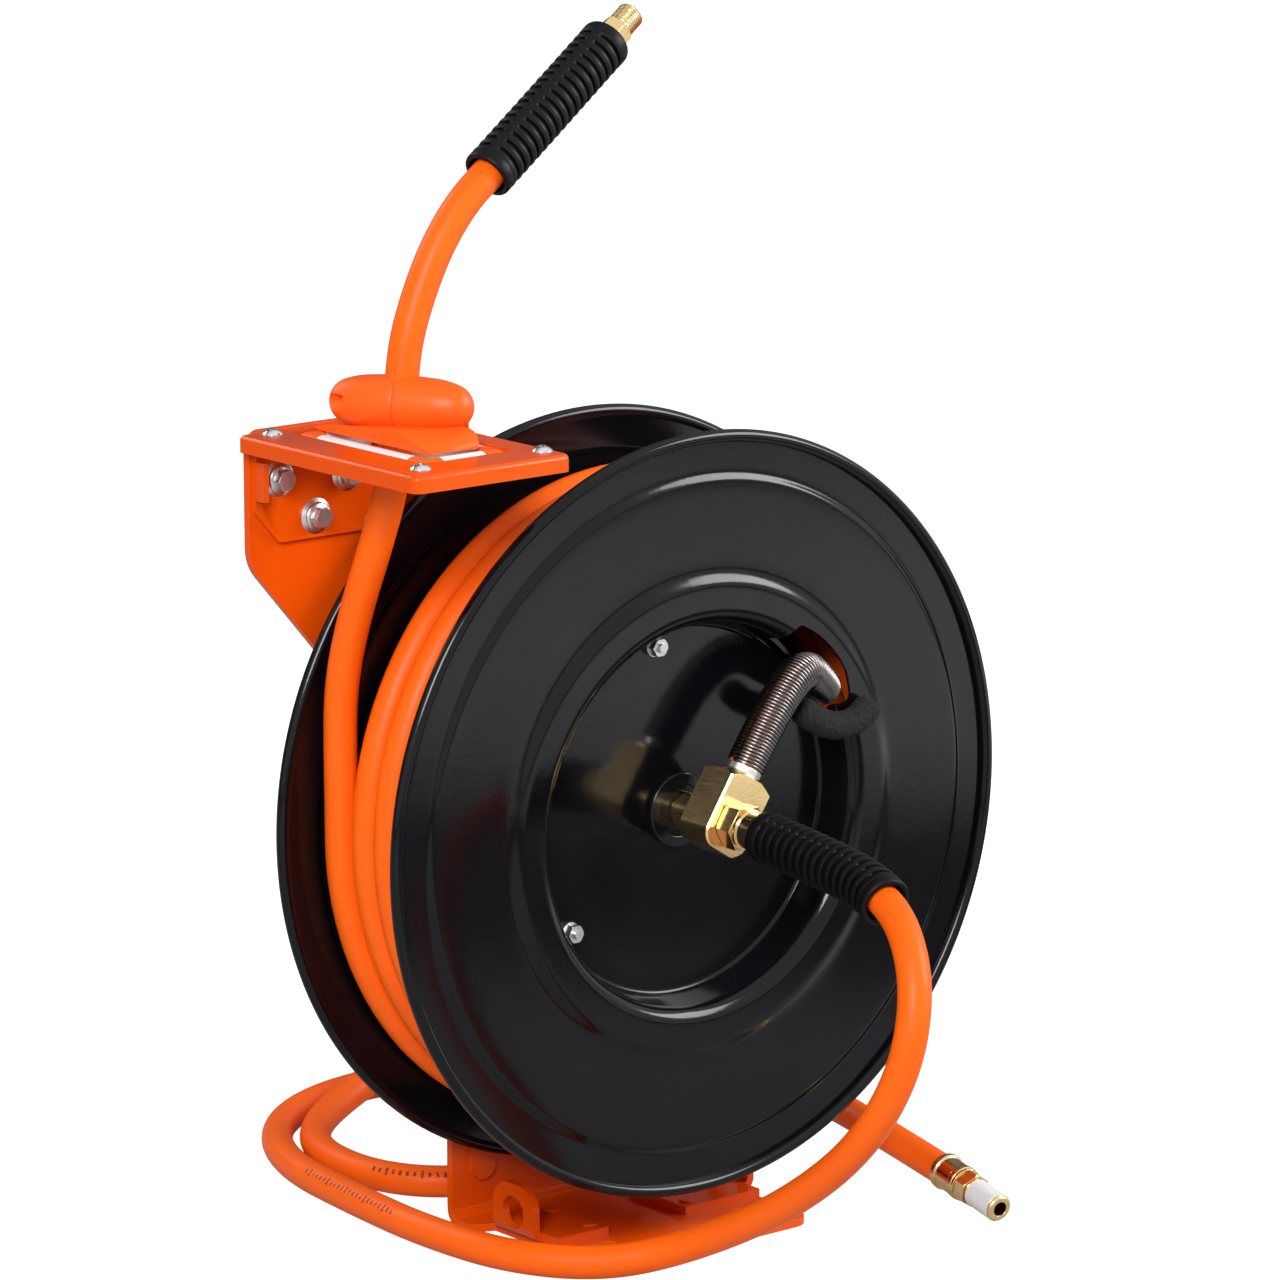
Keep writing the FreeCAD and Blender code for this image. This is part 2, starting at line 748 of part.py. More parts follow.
def axle_parts():
    """Fixed axle with its flange bolted to the arm."""
    nodes = {}
    flange = rod(axle_flange_radius, on_axis(arm_front), FORWARD, axle_flange_thickness)
    shaft = rod(axle_radius, on_axis(-axle_front), BACKWARD, arm_front + axle_front)
    hub = rod(axle_radius + 4, on_axis(arm_front), FORWARD, axle_flange_thickness + 8)
    socket = rod(spindle_neck_radius - 0.5, on_axis(-axle_front), BACKWARD, 14)
    angles = (45.0, 135.0, 225.0, 315.0)
    front_face = arm_front - axle_flange_thickness
    holes = []
    for angle in angles:
        base = polar(axle_bolt_circle, angle, front_face - 1)
        holes.append(rod(axle_bolt_radius + 0.3, base, BACKWARD, 20))
    nodes["axle"] = shaft.fuse([flange, hub]).removeSplitter().cut(holes).cut(socket)
    bolts, nuts = [], []
    for angle in angles:
        seat = polar(axle_bolt_circle, angle, front_face)
        bolts.append(rod(axle_bolt_radius, seat, BACKWARD, 19).fuse(rod(5.2, seat, FORWARD, 3.2)))
        nuts.append(hex_nut(axle_bolt_radius, 10.0, 5.0, polar(axle_bolt_circle, angle, arm_back), BACKWARD))
    nodes["axle_bolts"] = Part.makeCompound(bolts)
    nodes["axle_nuts"] = Part.makeCompound(nuts)
    return nodes


inlet_way = unit(V(0, -1, -0.095))
inlet_flange_back = swivel_front + swivel_end_gap + inlet_nut_length
inlet_seat = on_axis(-inlet_flange_back)
inlet_sleeve_start = inlet_seat + inlet_way * inlet_ferrule_bare
lead_start = inlet_sleeve_start - inlet_way * 4.0


def swivel_parts():
    """Brass swivel block on the drum, its fixed spindle, and the guarded hose."""
    nodes = {}
    depth = swivel_front - swivel_back
    port_way = unit(polar(1.0, port_angle) - axis_point)
    across = V(-port_way.z, 0, port_way.x)
    corners = []
    for reach, side in ((-swivel_tail, -1), (port_face_radius, -1), (port_face_radius, 1), (-swivel_tail, 1)):
        point = axis_point + port_way * reach + across * (side * swivel_half_width)
        corners.append((point.x, point.z))
    radii = [swivel_tail_corner, swivel_head_corner, swivel_head_corner, swivel_tail_corner]
    bar = plate_y(corners, radii, -swivel_front, -swivel_back)
    front_edges = [e for e in bar.Edges if all(abs(v.Y + swivel_front) < 1e-6 for v in e.Vertexes)]
    bar = bar.makeChamfer(swivel_chamfer, front_edges)
    cone_length = port_face_radius + 30.0
    wide = port_land_radius + cone_length * port_cone_slope
    cone_base = polar(port_face_radius - cone_length, port_angle, -port_height)
    cone = Part.makeCone(wide, port_land_radius, cone_length, cone_base, port_way)
    port_top = polar(port_face_radius, port_angle, -port_height)
    journal = rod(spindle_radius + running_gap, on_axis(-swivel_back + 1), FORWARD, depth + 2)
    port = rod(port_bore, on_axis(-port_height), port_way, 40)
    nodes["swivel_block"] = bar.common(cone).cut([journal, port])

    neck_end = swivel_back - swivel_end_gap
    neck = rod(spindle_neck_radius, on_axis(-axle_front), FORWARD, neck_end - axle_front)
    plug = rod(spindle_neck_radius - 0.5, on_axis(-axle_front), BACKWARD, 12)
    journal_end = inlet_flange_back - 3.0
    stem = rod(spindle_radius, on_axis(-axle_front), FORWARD, journal_end - axle_front)
    water = rod(spindle_bore, on_axis(-port_height + 4), FORWARD, 60)
    cross = rod(2.5, polar(-15, port_angle, -port_height), port_way, 30)
    groove = ring(spindle_radius + 1, spindle_radius - 1.5, on_axis(-port_height + 3), FORWARD, 6)
    seal_places = (-port_height + 6.5, -port_height - 6.5)
    seal_cuts = []
    seals = []
    for y in seal_places:
        base = on_axis(y + seal_section)
        inner = spindle_radius - 2 * seal_section
        seal_cuts.append(ring(spindle_radius + 1, inner, base, FORWARD, 2 * seal_section))
        seals.append(Part.makeTorus(spindle_radius - seal_section, seal_section * 0.99, on_axis(y), BACKWARD))
    spindle = neck.fuse([plug, stem]).removeSplitter()
    nodes["swivel_spindle"] = spindle.cut([water, cross, groove] + seal_cuts)
    nodes["swivel_seals"] = Part.makeCompound(seals)

    nut_back = swivel_front + swivel_end_gap
    nut = hexagon(20.0, on_axis(-nut_back), FORWARD, inlet_nut_length + 2, spin=-2.0)
    journal_room = rod(spindle_radius, on_axis(-nut_back + 1), FORWARD, journal_end - nut_back + 1)
    passage = rod(hose_bore / 2 - 0.5, on_axis(-nut_back), FORWARD, 20)
    beyond = rod(40, inlet_seat, inlet_way, 20)
    nodes["inlet_nut"] = nut.cut([journal_room, passage, beyond])
    collar = rod(inlet_collar_radius, inlet_seat, inlet_way, 2.4)
    inlet_profile = collar.fuse(rod(ferrule_radius, inlet_seat, inlet_way, ferrule_length))
    inside = rod(hose_radius, lead_start, inlet_way, ferrule_length)
    through = rod(hose_bore / 2 - 0.5, inlet_seat - inlet_way, inlet_way, 20)
    nodes["inlet_ferrule"] = inlet_profile.removeSplitter().cut([inside, through])
    sleeve_edges = route_edges(lead_points[:5], None)
    sleeve_base = (inlet_sleeve_start - lead_start).Length
    mouth = ferrule_length - inlet_ferrule_bare + 1.0
    sleeve_tip = sleeve_base + inlet_sleeve_length
    nodes["inlet_sleeve"] = ribbed_sleeve(sleeve_edges, sleeve_base, sleeve_tip, mouth)

    ferrule_base = port_top
    step = guard_start_radius - port_face_radius
    guard_ferrule = ring(guard_ferrule_radius, port_bore, ferrule_base, port_way, step)
    nodes["guard_ferrule"] = guard_ferrule
    edges = route_edges(guard_points, "guard_hose")
    start = guard_points[0]
    guard_way = unit(guard_points[1] - start)
    outer_hose = sweep(edges, start, guard_way, hose_radius)
    inner_hose = sweep(edges, start, guard_way, hose_bore / 2)
    nodes["guard_hose"] = outer_hose.cut(inner_hose)
    nodes["guard_spring"] = guard_spring()
    return nodes


def guard_spring():
    """Round-wire guard wound about the hose from the swivel to the drum's opening."""
    at = along(route_edges(guard_points, None))
    samples = [at(length)[0] for length in range(int(guard_length) + 2)]
    ways = [at(length)[1] for length in range(len(samples))]
    sides = [unit(ways[0].cross(V(0, 1, 0)))]
    for k in range(1, len(samples)):
        carried = sides[-1] - ways[k] * sides[-1].dot(ways[k])
        sides.append(unit(carried))
    ends = guard_wire_radius + 0.4
    first, last = ends, guard_length - ends
    wire_circle = guard_radius - guard_wire_radius

    def wire(t):
        length = first + (last - first) * t / guard_curls
        centre, way = at(max(length, 0.0))
        k = max(min(int(length), len(sides) - 2), 0)
        share = length - k
        side = sides[k] * (1 - share) + sides[k + 1] * share
        side = unit(side - way * side.dot(way))
        other = way.cross(side)
        turn = 2 * math.pi * t
        return centre + side * (wire_circle * math.cos(turn)) + other * (wire_circle * math.sin(turn))

    return coil(wire, guard_curls, guard_wire_radius, "guard_spring")


def arm_parts():
    """Arm and foot bent from one sheet, and the two ear brackets on the foot."""
    nodes = {}
    side_corners = [(foot_front, 0.0), (arm_back, 0.0), (arm_back, arm_top)]
    far, far_radii = sheet_corners(side_corners[::-1], [0, arm_bend_radius, 0], arm_sheet)
    bent = plate_x(far, far_radii, -200.0, 100.0)
    arm_corners = [
        (arm_foot_left, -1.0),
        (arm_foot_left, 204.0),
        (-154.0, 298.0),
        (-190.0, 340.0),
        (-190.0, arm_top),
        (-62.0, arm_top),
        (-62.0, 378.0),
        (arm_foot_right, 240.0),
        (arm_foot_right, -1.0),
    ]
    split = arm_back - arm_bend_radius - 3.0
    arm_mask = plate_y(arm_corners, [0, 20, 60, 22, 8, 6, 12, 25, 0], split, arm_back + 1)
    foot_corners = [
        (-foot_half_width, foot_front),
        (foot_half_width, foot_front),
        (foot_half_width, 36.0),
        (arm_foot_right, 41.0),
        (arm_foot_right, split),
        (arm_foot_left, split),
        (arm_foot_left, 41.0),
        (-foot_half_width, 36.0),
    ]
    foot_mask = plate_z(foot_corners, [10, 10, 2, 2, 0, 0, 2, 2], -1.0, 12.0)
    slots = []
    for x in (-slot_spacing_x / 2, slot_spacing_x / 2):
        for y in (-slot_spacing_y / 2, slot_spacing_y / 2):
            slots.append(base_slot(x, y, -5.0, 20.0))
    arm = bent.common(arm_mask)
    foot = bent.common(foot_mask)
    holes = [rod(guide_bolt_radius + 0.3, V(x, arm_front - 5, z), BACKWARD, 20) for x, z in guide_bolt_places]
    bolt_angles = (45.0, 135.0, 225.0, 315.0)
    holes += [rod(axle_bolt_radius + 0.3, polar(axle_bolt_circle, a, 40), BACKWARD, 30) for a in bolt_angles]
    pivot_height = axis_height - pawl_pivot_drop
    holes.append(rod(pawl_pin_radius, V(pawl_pivot_x, 40, pivot_height), BACKWARD, 30))
    sheet = arm.fuse(foot).removeSplitter()
    for x in rib_places:
        rib = capsule(rib_width, x, rib_bottom, rib_top, arm_front - rib_height, arm_front + 1)
        low, high = rib_bottom + 2.5, rib_top - 2.5
        hollow = capsule(rib_width - 5, x, low, high, arm_back - rib_height, arm_back + 1)
        sheet = sheet.fuse(rib).cut(hollow)
    nodes["mount_arm"] = sheet.removeSplitter().cut(holes + slots)

    for name, side, pad_edge in (("left_ear_bracket", -1, 32.0), ("right_ear_bracket", 1, 16.0)):
        outer = side * ear_outer_face
        corners = [(side * pad_edge, 2 * arm_sheet), (outer, 2 * arm_sheet), (outer, ear_height)]
        if side > 0:
            corners = [(outer, ear_height), (outer, arm_sheet), (side * pad_edge, arm_sheet)]
        else:
            corners = [(side * pad_edge, arm_sheet), (outer, arm_sheet), (outer, ear_height)]
        far, far_radii = sheet_corners(corners, [0, 6.0, 0], arm_sheet if side > 0 else arm_sheet)
        bracket = plate_y(far, far_radii, ear_centre_y - 27.0, ear_centre_y + ear_half_length)
        rounding = [
            (ear_centre_y - ear_half_length, 9.5),
            (ear_centre_y - ear_half_length, ear_height),
            (ear_centre_y + ear_half_length, ear_height),
            (ear_centre_y + ear_half_length, 9.5),
        ]
        ear_x = sorted((outer, side * (ear_outer_face - arm_sheet)))
        tall = plate_x(rounding, [0, 12.0, 12.0, 0], ear_x[0], ear_x[1])
        pad_x = sorted((outer, side * pad_edge))
        low = block(*pad_x, ear_centre_y - 27.0, ear_centre_y + ear_half_length, 0.0, 9.5)
        bracket = bracket.common(tall.fuse(low))
        beyond_x = sorted((side * foot_half_width, side * 80.0))
        near_front = block(*beyond_x, -40.0, ear_centre_y - ear_half_length, 0, 12)
        bracket = bracket.cut(near_front)
        hole = rod(ear_hole_radius, V(outer - side * 10, ear_centre_y, ear_hole_height), V(side, 0, 0), 20)
        nodes[name] = bracket.cut([hole, slots[1 if side < 0 else 3]])
    rivets = []
    for x in (-38.0, 22.0):
        for y in (ear_centre_y - 20.0, ear_centre_y + 9.0):
            rivets.append(rod(3.5, V(x, y, 2 * arm_sheet), UP, 1.2))
    nodes["bracket_rivets"] = Part.makeCompound(rivets)
    return nodes


def base_slot(x, y, z0, z1):
    """Slot along X in the foot."""
    half = slot_length / 2
    corners = [
        (x - half, y - slot_half_width),
        (x + half, y - slot_half_width),
        (x + half, y + slot_half_width),
        (x - half, y + slot_half_width),
    ]
    return plate_z(corners, [slot_half_width - 0.005] * 4, z0, z1)


def guide_parts():
    """Guide bracket on the arm's tip, its bolts, corner blocks, pins and four rollers."""
    nodes = {}
    under = guide_top - guide_sheet
    outline = [
        (guide_left, guide_front),
        (guide_right, guide_front),
        (guide_right, arm_front),
        (guide_left, arm_front),
    ]
    tray = plate_z(outline, [5, 5, 3, 3], guide_top - guide_lip, guide_top)
    top_edges = [e for e in tray.Edges if all(abs(v.Z - guide_top) < 1e-6 for v in e.Vertexes)]
    tray = tray.makeFillet(2.5, top_edges)
    room = [
        (guide_left + guide_sheet, guide_front + guide_sheet),
        (guide_right - guide_sheet, guide_front + guide_sheet),
        (guide_right - guide_sheet, arm_front - guide_sheet),
        (guide_left + guide_sheet, arm_front - guide_sheet),
    ]
    tray = tray.cut(plate_z(room, [2, 2, 1, 1], guide_top - guide_lip - 1, under))
    upright = [
        (-188.0, under + 1),
        (-188.0, 365.0),
        (-175.0, 350.0),
        (-112.0, 350.0),
        (-112.0, under + 1),
    ]
    wall = plate_y(upright, [0, 2, 2, 3, 0], arm_front - guide_sheet, arm_front)
    flange_top = roller_height - roller_radius - 1.5
    wall_front = arm_front - guide_sheet
    flange = block(-188.0, -185.0, wall_front - 6.0, wall_front + 1, 371.0, flange_top)
    open_edge = roller_radius + 0.6
    window = [
        (roller_left_x - open_edge, roller_front_y - open_edge),
        (roller_right_x + open_edge, roller_front_y - open_edge),
        (roller_right_x + open_edge, roller_back_y + open_edge),
        (roller_left_x - open_edge, roller_back_y + open_edge),
    ]
    opening = plate_z(window, [open_edge - 0.2] * 4, under - 10, guide_top + 1)
    slots = []
    for x, z in guide_bolt_places:
        half = guide_bolt_radius + 0.3
        corners = [
            (x - half, z - half),
            (x + guide_slot_run, z - half),
            (x + guide_slot_run, z + half),
            (x - half, z + half),
        ]
        slots.append(plate_y(corners, [half - 0.01] * 4, arm_front - 12, arm_front + 1))
    screw_places = []
    for x, side_x in ((roller_left_x, -1), (roller_right_x, 1)):
        for y, side_y in ((roller_front_y, -1), (roller_back_y, 1)):
            place_x = x + side_x * block_screw_offset
            place_y = y + side_y * (block_screw_offset if side_y < 0 else 8.0)
            screw_places.append((x, y, side_x, side_y, place_x, place_y))
    screw_holes = [rod(block_screw_radius + 0.2, V(p[4], p[5], under - 1), UP, 10) for p in screw_places]
    nodes["guide_bracket"] = tray.fuse([wall, flange]).removeSplitter().cut([opening] + slots + screw_holes)

    bolts, nuts = [], []
    for x, z in guide_bolt_places:
        seat = V(x, arm_front - guide_sheet, z)
        bolts.append(hex_bolt(guide_bolt_radius, 13.0, 5.3, guide_sheet + arm_sheet + 9.0, seat, BACKWARD))
        nuts.append(hex_nut(guide_bolt_radius, 13.0, 6.5, V(x, arm_back, z), BACKWARD))
    nodes["guide_bolts"] = Part.makeCompound(bolts)
    nodes["guide_nuts"] = Part.makeCompound(nuts)

    blocks, screws = [], []
    block_floor = roller_height - roller_radius - 1.0
    cut_floor = block_floor - 8.0
    cut_top = guide_top + 16.0
    for x, y, side_x, side_y, place_x, place_y in screw_places:
        end_y = y - side_y * (long_roller_gap - part_gap)
        end_x = x - side_x * (short_roller_gap - part_gap)
        along_y = rod(roller_radius, V(x, y, roller_height), V(0, -side_y, 0), abs(end_y - y))
        along_x = rod(roller_radius, V(x, y, roller_height), V(-side_x, 0, 0), abs(end_x - x))
        elbow = Part.makeSphere(roller_radius, V(x, y, roller_height))
        pad_edge = min(place_x + 6, guide_right - guide_sheet - part_gap) if side_x > 0 else place_x - 6
        pad_x = sorted((end_x, pad_edge))
        pad_y = sorted((end_y, place_y + side_y * (6 if side_y < 0 else 4.5)))
        pad = block(pad_x[0], pad_x[1], pad_y[0], pad_y[1], block_floor, under)
        middle_x = sorted((end_x, x - side_x * (roller_radius + 0.5)))
        middle_y = sorted((end_y, y - side_y * (roller_radius + 0.5)))
        corner_room = block(middle_x[0] - 1, middle_x[1] + 1, middle_y[0] - 1, middle_y[1] + 1, cut_floor, cut_top)
        inner_cut = block(
            *sorted((x - side_x * roller_radius, end_x - side_x)),
            *sorted((y - side_y * roller_radius, end_y - side_y)),
            cut_floor,
            cut_top,
        )
        body = along_y.fuse([along_x, elbow, pad.cut(inner_cut)])
        screw_hole = rod(block_screw_radius, V(place_x, place_y, cut_floor), UP, cut_top - cut_floor)
        pin_y = rod(roller_pin_radius, V(x, y - side_y * 5, roller_height), V(0, -side_y, 0), 30)
        pin_x = rod(roller_pin_radius, V(x - side_x * 4, y, roller_height), V(-side_x, 0, 0), 30)
        blocks.append(body.removeSplitter().cut([screw_hole, pin_y, pin_x]))
        shank = rod(block_screw_radius, V(place_x, place_y, guide_top), V(0, 0, -1), 10.5)
        dome = Part.makeSphere(6.2, V(place_x, place_y, guide_top - 3.6))
        head = dome.common(rod(5.0, V(place_x, place_y, guide_top), UP, 4))
        cross_way = V(math.cos(side_x * side_y), math.sin(side_x * side_y), 0)
        groove = place(block(-3, 3, -0.5, 0.5, 0, 3), V(place_x, place_y, guide_top + 1.4))
        other = place(block(-0.5, 0.5, -3, 3, 0, 3), V(place_x, place_y, guide_top + 1.4))
        turn = math.degrees(math.atan2(cross_way.y, cross_way.x))
        cross = groove.fuse(other)
        cross.rotate(V(place_x, place_y, 0), UP, turn)
        screws.append(shank.fuse(head).removeSplitter().cut(cross))
    nodes["guide_blocks"] = Part.makeCompound(blocks)
    nodes["guide_screws"] = Part.makeCompound(screws)

    pins = []
    long_start = roller_front_y + 5
    long_length = roller_back_y - roller_front_y - 10
    for x in (roller_left_x, roller_right_x):
        pins.append(rod(roller_pin_radius, V(x, long_start, roller_height), BACKWARD, long_length))
    short_start = roller_left_x + 4
    short_length = roller_right_x - roller_left_x - 8
    for y in (roller_front_y, roller_back_y):
        pins.append(rod(roller_pin_radius, V(short_start, y, roller_height), RIGHT, short_length))
    nodes["roller_pins"] = Part.makeCompound(pins)

    bore = roller_pin_radius + roller_bore_gap
    long_roller = roller_back_y - roller_front_y - 2 * long_roller_gap
    short_roller = roller_right_x - roller_left_x - 2 * short_roller_gap
    for name, x in (("roller_left", roller_left_x), ("roller_right", roller_right_x)):
        base = V(x, roller_front_y + long_roller_gap, roller_height)
        nodes[name] = ring(roller_radius, bore, base, BACKWARD, long_roller)
    for name, y in (("roller_front", roller_front_y), ("roller_back", roller_back_y)):
        base = V(roller_left_x + short_roller_gap, y, roller_height)
        nodes[name] = ring(roller_radius, bore, base, RIGHT, short_roller)
    return nodes


last_lane = (turns_per_layer - 1) * turn_pitch / 2
winding_exit = V(-(winding_radius + last_turn_rise), last_lane, axis_height + hose_diameter)
hose_run_points = [
    winding_exit,
    V(-155.4, last_lane, 252.0),
    V(-154.6, last_lane, 284.0),
    V(-152.5, 24.0, 318.0),
    V(-150.5, 11.0, guide_top - 52.5),
    V(-147.0, 1.25, guide_top - 20.5),
    V(-142.6, 1.25, guide_top + 17.5),
]
outlet_way = unit(V(0.838, 0.193, 0.511))
outlet_sleeve_start = V(-91.3, 1.2, guide_top + 116.0)
outlet_end = outlet_sleeve_start + outlet_way * (outlet_sleeve_length - ferrule_length + 4)
outlet_points = [
    V(-142.6, 1.25, guide_top + 17.5),
    V(-139.6, 1.25, guide_top + 43.5),
    V(-131.0, 1.25, guide_top + 66.5),
    V(-120.0, 1.25, guide_top + 87.5),
    V(-105.0, 1.25, guide_top + 106.0),
    V(-86.0, 2.42, guide_top + 119.2),
    outlet_end,
]


def stop_parts():
    """Two moulded halves clamped on the hose, their screws, and the bumper under them."""
    nodes = {}
    lower_edges = route_edges(hose_run_points, None)[-4:]
    lower_start = lower_edges[0].valueAt(lower_edges[0].ParameterRange[0])
    lower_way = unit(lower_edges[0].tangentAt(lower_edges[0].ParameterRange[0]))
    hose_tube = sweep(lower_edges, lower_start, lower_way, hose_radius + clamp_gap)
    upper_edges = route_edges(outlet_points, None)[:4]
    upper_way = unit(outlet_points[1] - outlet_points[0])
    upper_tube = sweep(upper_edges, outlet_points[0], upper_way, hose_radius + clamp_gap)
    half = stop_length / 2
    bulge = [
        (-half, 0.0),
        (-half + 1.5, 8.0),
        (-half + 10.0, stop_height / 2 - 1.5),
        (0.0, stop_height / 2 + 1.0),
        (half - 10.0, stop_height / 2 - 1.5),
        (half - 1.5, 8.0),
        (half, 0.0),
    ]
    face = outline_face([V(x, 0, z) for x, z in bulge], [0, 9.0, 24.0, 110.0, 24.0, 9.0, 0])
    body = face.revolve(V(0, 0, 0), RIGHT, 360)
    body.rotate(V(0, 0, 0), UP, stop_turn)
    body.translate(stop_centre)
    way = V(math.cos(math.radians(stop_turn)), math.sin(math.radians(stop_turn)), 0)
    across = V(-way.y, way.x, 0)
    body = body.cut([hose_tube, upper_tube])
    screw_hole = rod(4.0, stop_centre - way * (half + 2), way, 14)
    screw_core = rod(2.1, stop_centre - way * half, way, 12 + half - 9)
    seam = 0.4
    slab = block(-60, 60, -40, 40, -30, 30)
    left_mask = place(slab, stop_centre - way * (30 + seam / 2), way)
    right_mask = place(slab, stop_centre + way * (30 + seam / 2), way)
    offset = across * 12.4
    holes = []
    screws = []
    for side in (1, -1):
        base = stop_centre + offset * side - way * 18
        holes.append(rod(1.8, base, way, 34))
        screws.append(rod(1.75, base, way, 33))
    body = body.cut(holes)
    nodes["stop_half_left"] = body.common(left_mask).cut(screw_hole)
    nodes["stop_half_right"] = body.common(right_mask)
    nodes["stop_screws"] = Part.makeCompound(screws)

    crown = guide_top + roller_proud + 0.5
    length_half = 42.0
    centre_y = -8.0
    arch = [
        (centre_y - length_half, crown),
        (centre_y, crown + 0.4),
        (centre_y + length_half, crown),
        (centre_y + length_half, crown + 1.2),
        (centre_y, crown + 2 * saddle_thickness - 2),
        (centre_y - length_half, crown + 1.2),
    ]
    saddle = plate_x(arch, [0, 0, 0.3, 0.3, 60.0, 0.3], -162.0, -132.0)
    oval = plate_z(
        [(-162.0, centre_y - 43), (-132.0, centre_y - 43), (-132.0, centre_y + 43), (-162.0, centre_y + 43)],
        [14.9] * 4,
        crown - 2,
        crown + 30,
    )
    whole = face.revolve(V(0, 0, 0), RIGHT, 360)
    whole.rotate(V(0, 0, 0), UP, stop_turn)
    whole.scale(1.01)
    whole.translate(stop_centre)
    nodes["stop_bumper"] = saddle.common(oval).cut([whole, hose_tube, upper_tube])
    return nodes


plug_way = unit(V(-0.141, -0.980, -0.143))
lead_end = V(137.6, -71.8, 13.1)
lead_points = [
    lead_start,
    lead_start + inlet_way * 40.7,
    V(-1.0, -165.0, 201.3),
    V(-7.4, -194.5, 190.5),
    V(-17.9, -215.8, 164.5),
    V(-26.8, -216.9, 127.8),
    V(-32.4, -192.8, 87.7),
    V(-33.2, -141.4, 48.3),
    V(-44.4, -88.4, 19.3),
    V(-70.9, -58.3, 8.0),
    V(-98.2, -20.6, 8.0),
    V(-104.5, 38.1, 8.0),
    V(-99.8, 100.5, 8.0),
    V(-91.7, 164.5, 8.0),
    V(-63.9, 217.0, 8.0),
    V(-17.0, 248.5, 8.0),
    V(40.7, 254.5, 8.0),
    V(87.8, 236.5, 8.0),
    V(113.1, 200.3, 8.0),
    V(116.5, 159.8, 8.0),
    V(96.6, 118.6, 8.0),
    V(51.0, 88.5, 8.0),
    V(-10.9, 79.9, 8.0),
    V(-51.4, 91.8, 8.0),
    V(-70.9, 126.0, 8.0),
    V(-66.9, 174.2, 8.0),
    V(-44.4, 207.3, 9.6),
    V(-5.3, 225.9, 16.4),
    V(51.8, 231.6, 35.9),
    V(100.7, 215.2, 42.1),
    V(135.8, 176.1, 37.6),
    V(154.3, 115.1, 30.2),
    V(157.1, 53.1, 23.2),
    V(147.2, -10.5, 19.0),
    lead_end,
]


def cord_parts():
    """Free hoses, the outlet's sleeve and fitting, and the lead-in's fitting."""
    nodes = {}
    nodes["hose_run"] = hose(hose_run_points, "hose_run")
    nodes["outlet_hose"] = hose(outlet_points, "outlet_hose")
    tip_seat = outlet_sleeve_start + outlet_way * (outlet_sleeve_length + 1.0)
    sleeve_edges = route_edges(outlet_points[:-1] + [tip_seat], None)
    sleeve_base = sum(edge.Length for edge in sleeve_edges) - 1.0
    sleeve_tip = sleeve_base - outlet_sleeve_length
    nodes["outlet_sleeve"] = ribbed_sleeve(sleeve_edges, sleeve_base, sleeve_tip, ferrule_length)
    shell = rod(ferrule_radius, tip_seat - outlet_way * (ferrule_length - 1), outlet_way, ferrule_length - 1)
    inside = rod(hose_radius, outlet_end - outlet_way * 30, outlet_way, 30)
    tail = rod(hose_bore / 2 - 0.5, outlet_end - outlet_way, outlet_way, 60)
    nodes["outlet_ferrule"] = shell.cut([inside, tail])
    hexed = hexagon(14.0, tip_seat, outlet_way, 8.5, spin=10.0)
    thread = threaded_end(thread_radius, thread_length, tip_seat + outlet_way * 8.5, outlet_way)
    nodes["outlet_plug"] = hexed.fuse(thread).cut(rod(3.6, tip_seat - outlet_way, outlet_way, 40))

    nodes["lead_in_hose"] = hose(lead_points, "lead_in_hose")
    shell = rod(lead_shell_radius, lead_end - plug_way * 10, plug_way, lead_shell_length)
    for step, extra in ((0.5, 0.9), (14.5, 0.4)):
        collar = rod(lead_shell_radius + extra, lead_end - plug_way * (10 - step), plug_way, 4.4)
        shell = shell.fuse(collar.makeFillet(1.4, [collar.Edges[0], collar.Edges[2]]))
    last_way = unit(lead_points[-1] - lead_points[-2])
    inside = rod(hose_radius, lead_end - last_way * 20, last_way, 20)
    water = rod(hose_bore / 2 - 0.5, lead_end - plug_way, plug_way, 40)
    nodes["lead_in_ferrule"] = shell.removeSplitter().cut([inside, water])
    plug_seat = lead_end + plug_way * (lead_shell_length - 10)
    hexed = hexagon(15.0, plug_seat, plug_way, 8.0, spin=20.0)
    thread_seat = plug_seat + plug_way * 8.0
    thread = threaded_end(thread_radius, lead_thread_length, thread_seat, plug_way)
    nodes["lead_in_plug"] = hexed.fuse(thread).cut(rod(3.6, plug_seat - plug_way, plug_way, 60))
    tape_length = lead_thread_length - 3.0
    tape_start = thread_seat + plug_way * 1.2
    nodes["thread_tape"] = ring(thread_radius + 0.45, thread_radius + 0.02, tape_start, plug_way, tape_length)
    return nodes


def main():
    """Build every sub-part and write it out."""
    os.makedirs("parts", exist_ok=True)
    nodes = {}
    for group in (
        drum_parts,
        rewind_spring_parts,
        ratchet_parts,
        axle_parts,
        swivel_parts,
        arm_parts,
        guide_parts,
        stop_parts,
        cord_parts,
    ):
        nodes.update(group())
    for name, shape in nodes.items():
        if not shape.isValid() or shape.Volume <= 0:
            print("check", name, shape.ShapeType, len(shape.Solids), round(shape.Volume, 1))
        shape.exportStep(os.path.join("parts", name + ".step"))
    print(len(nodes), "sub-parts")


main()
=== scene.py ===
import json
import math

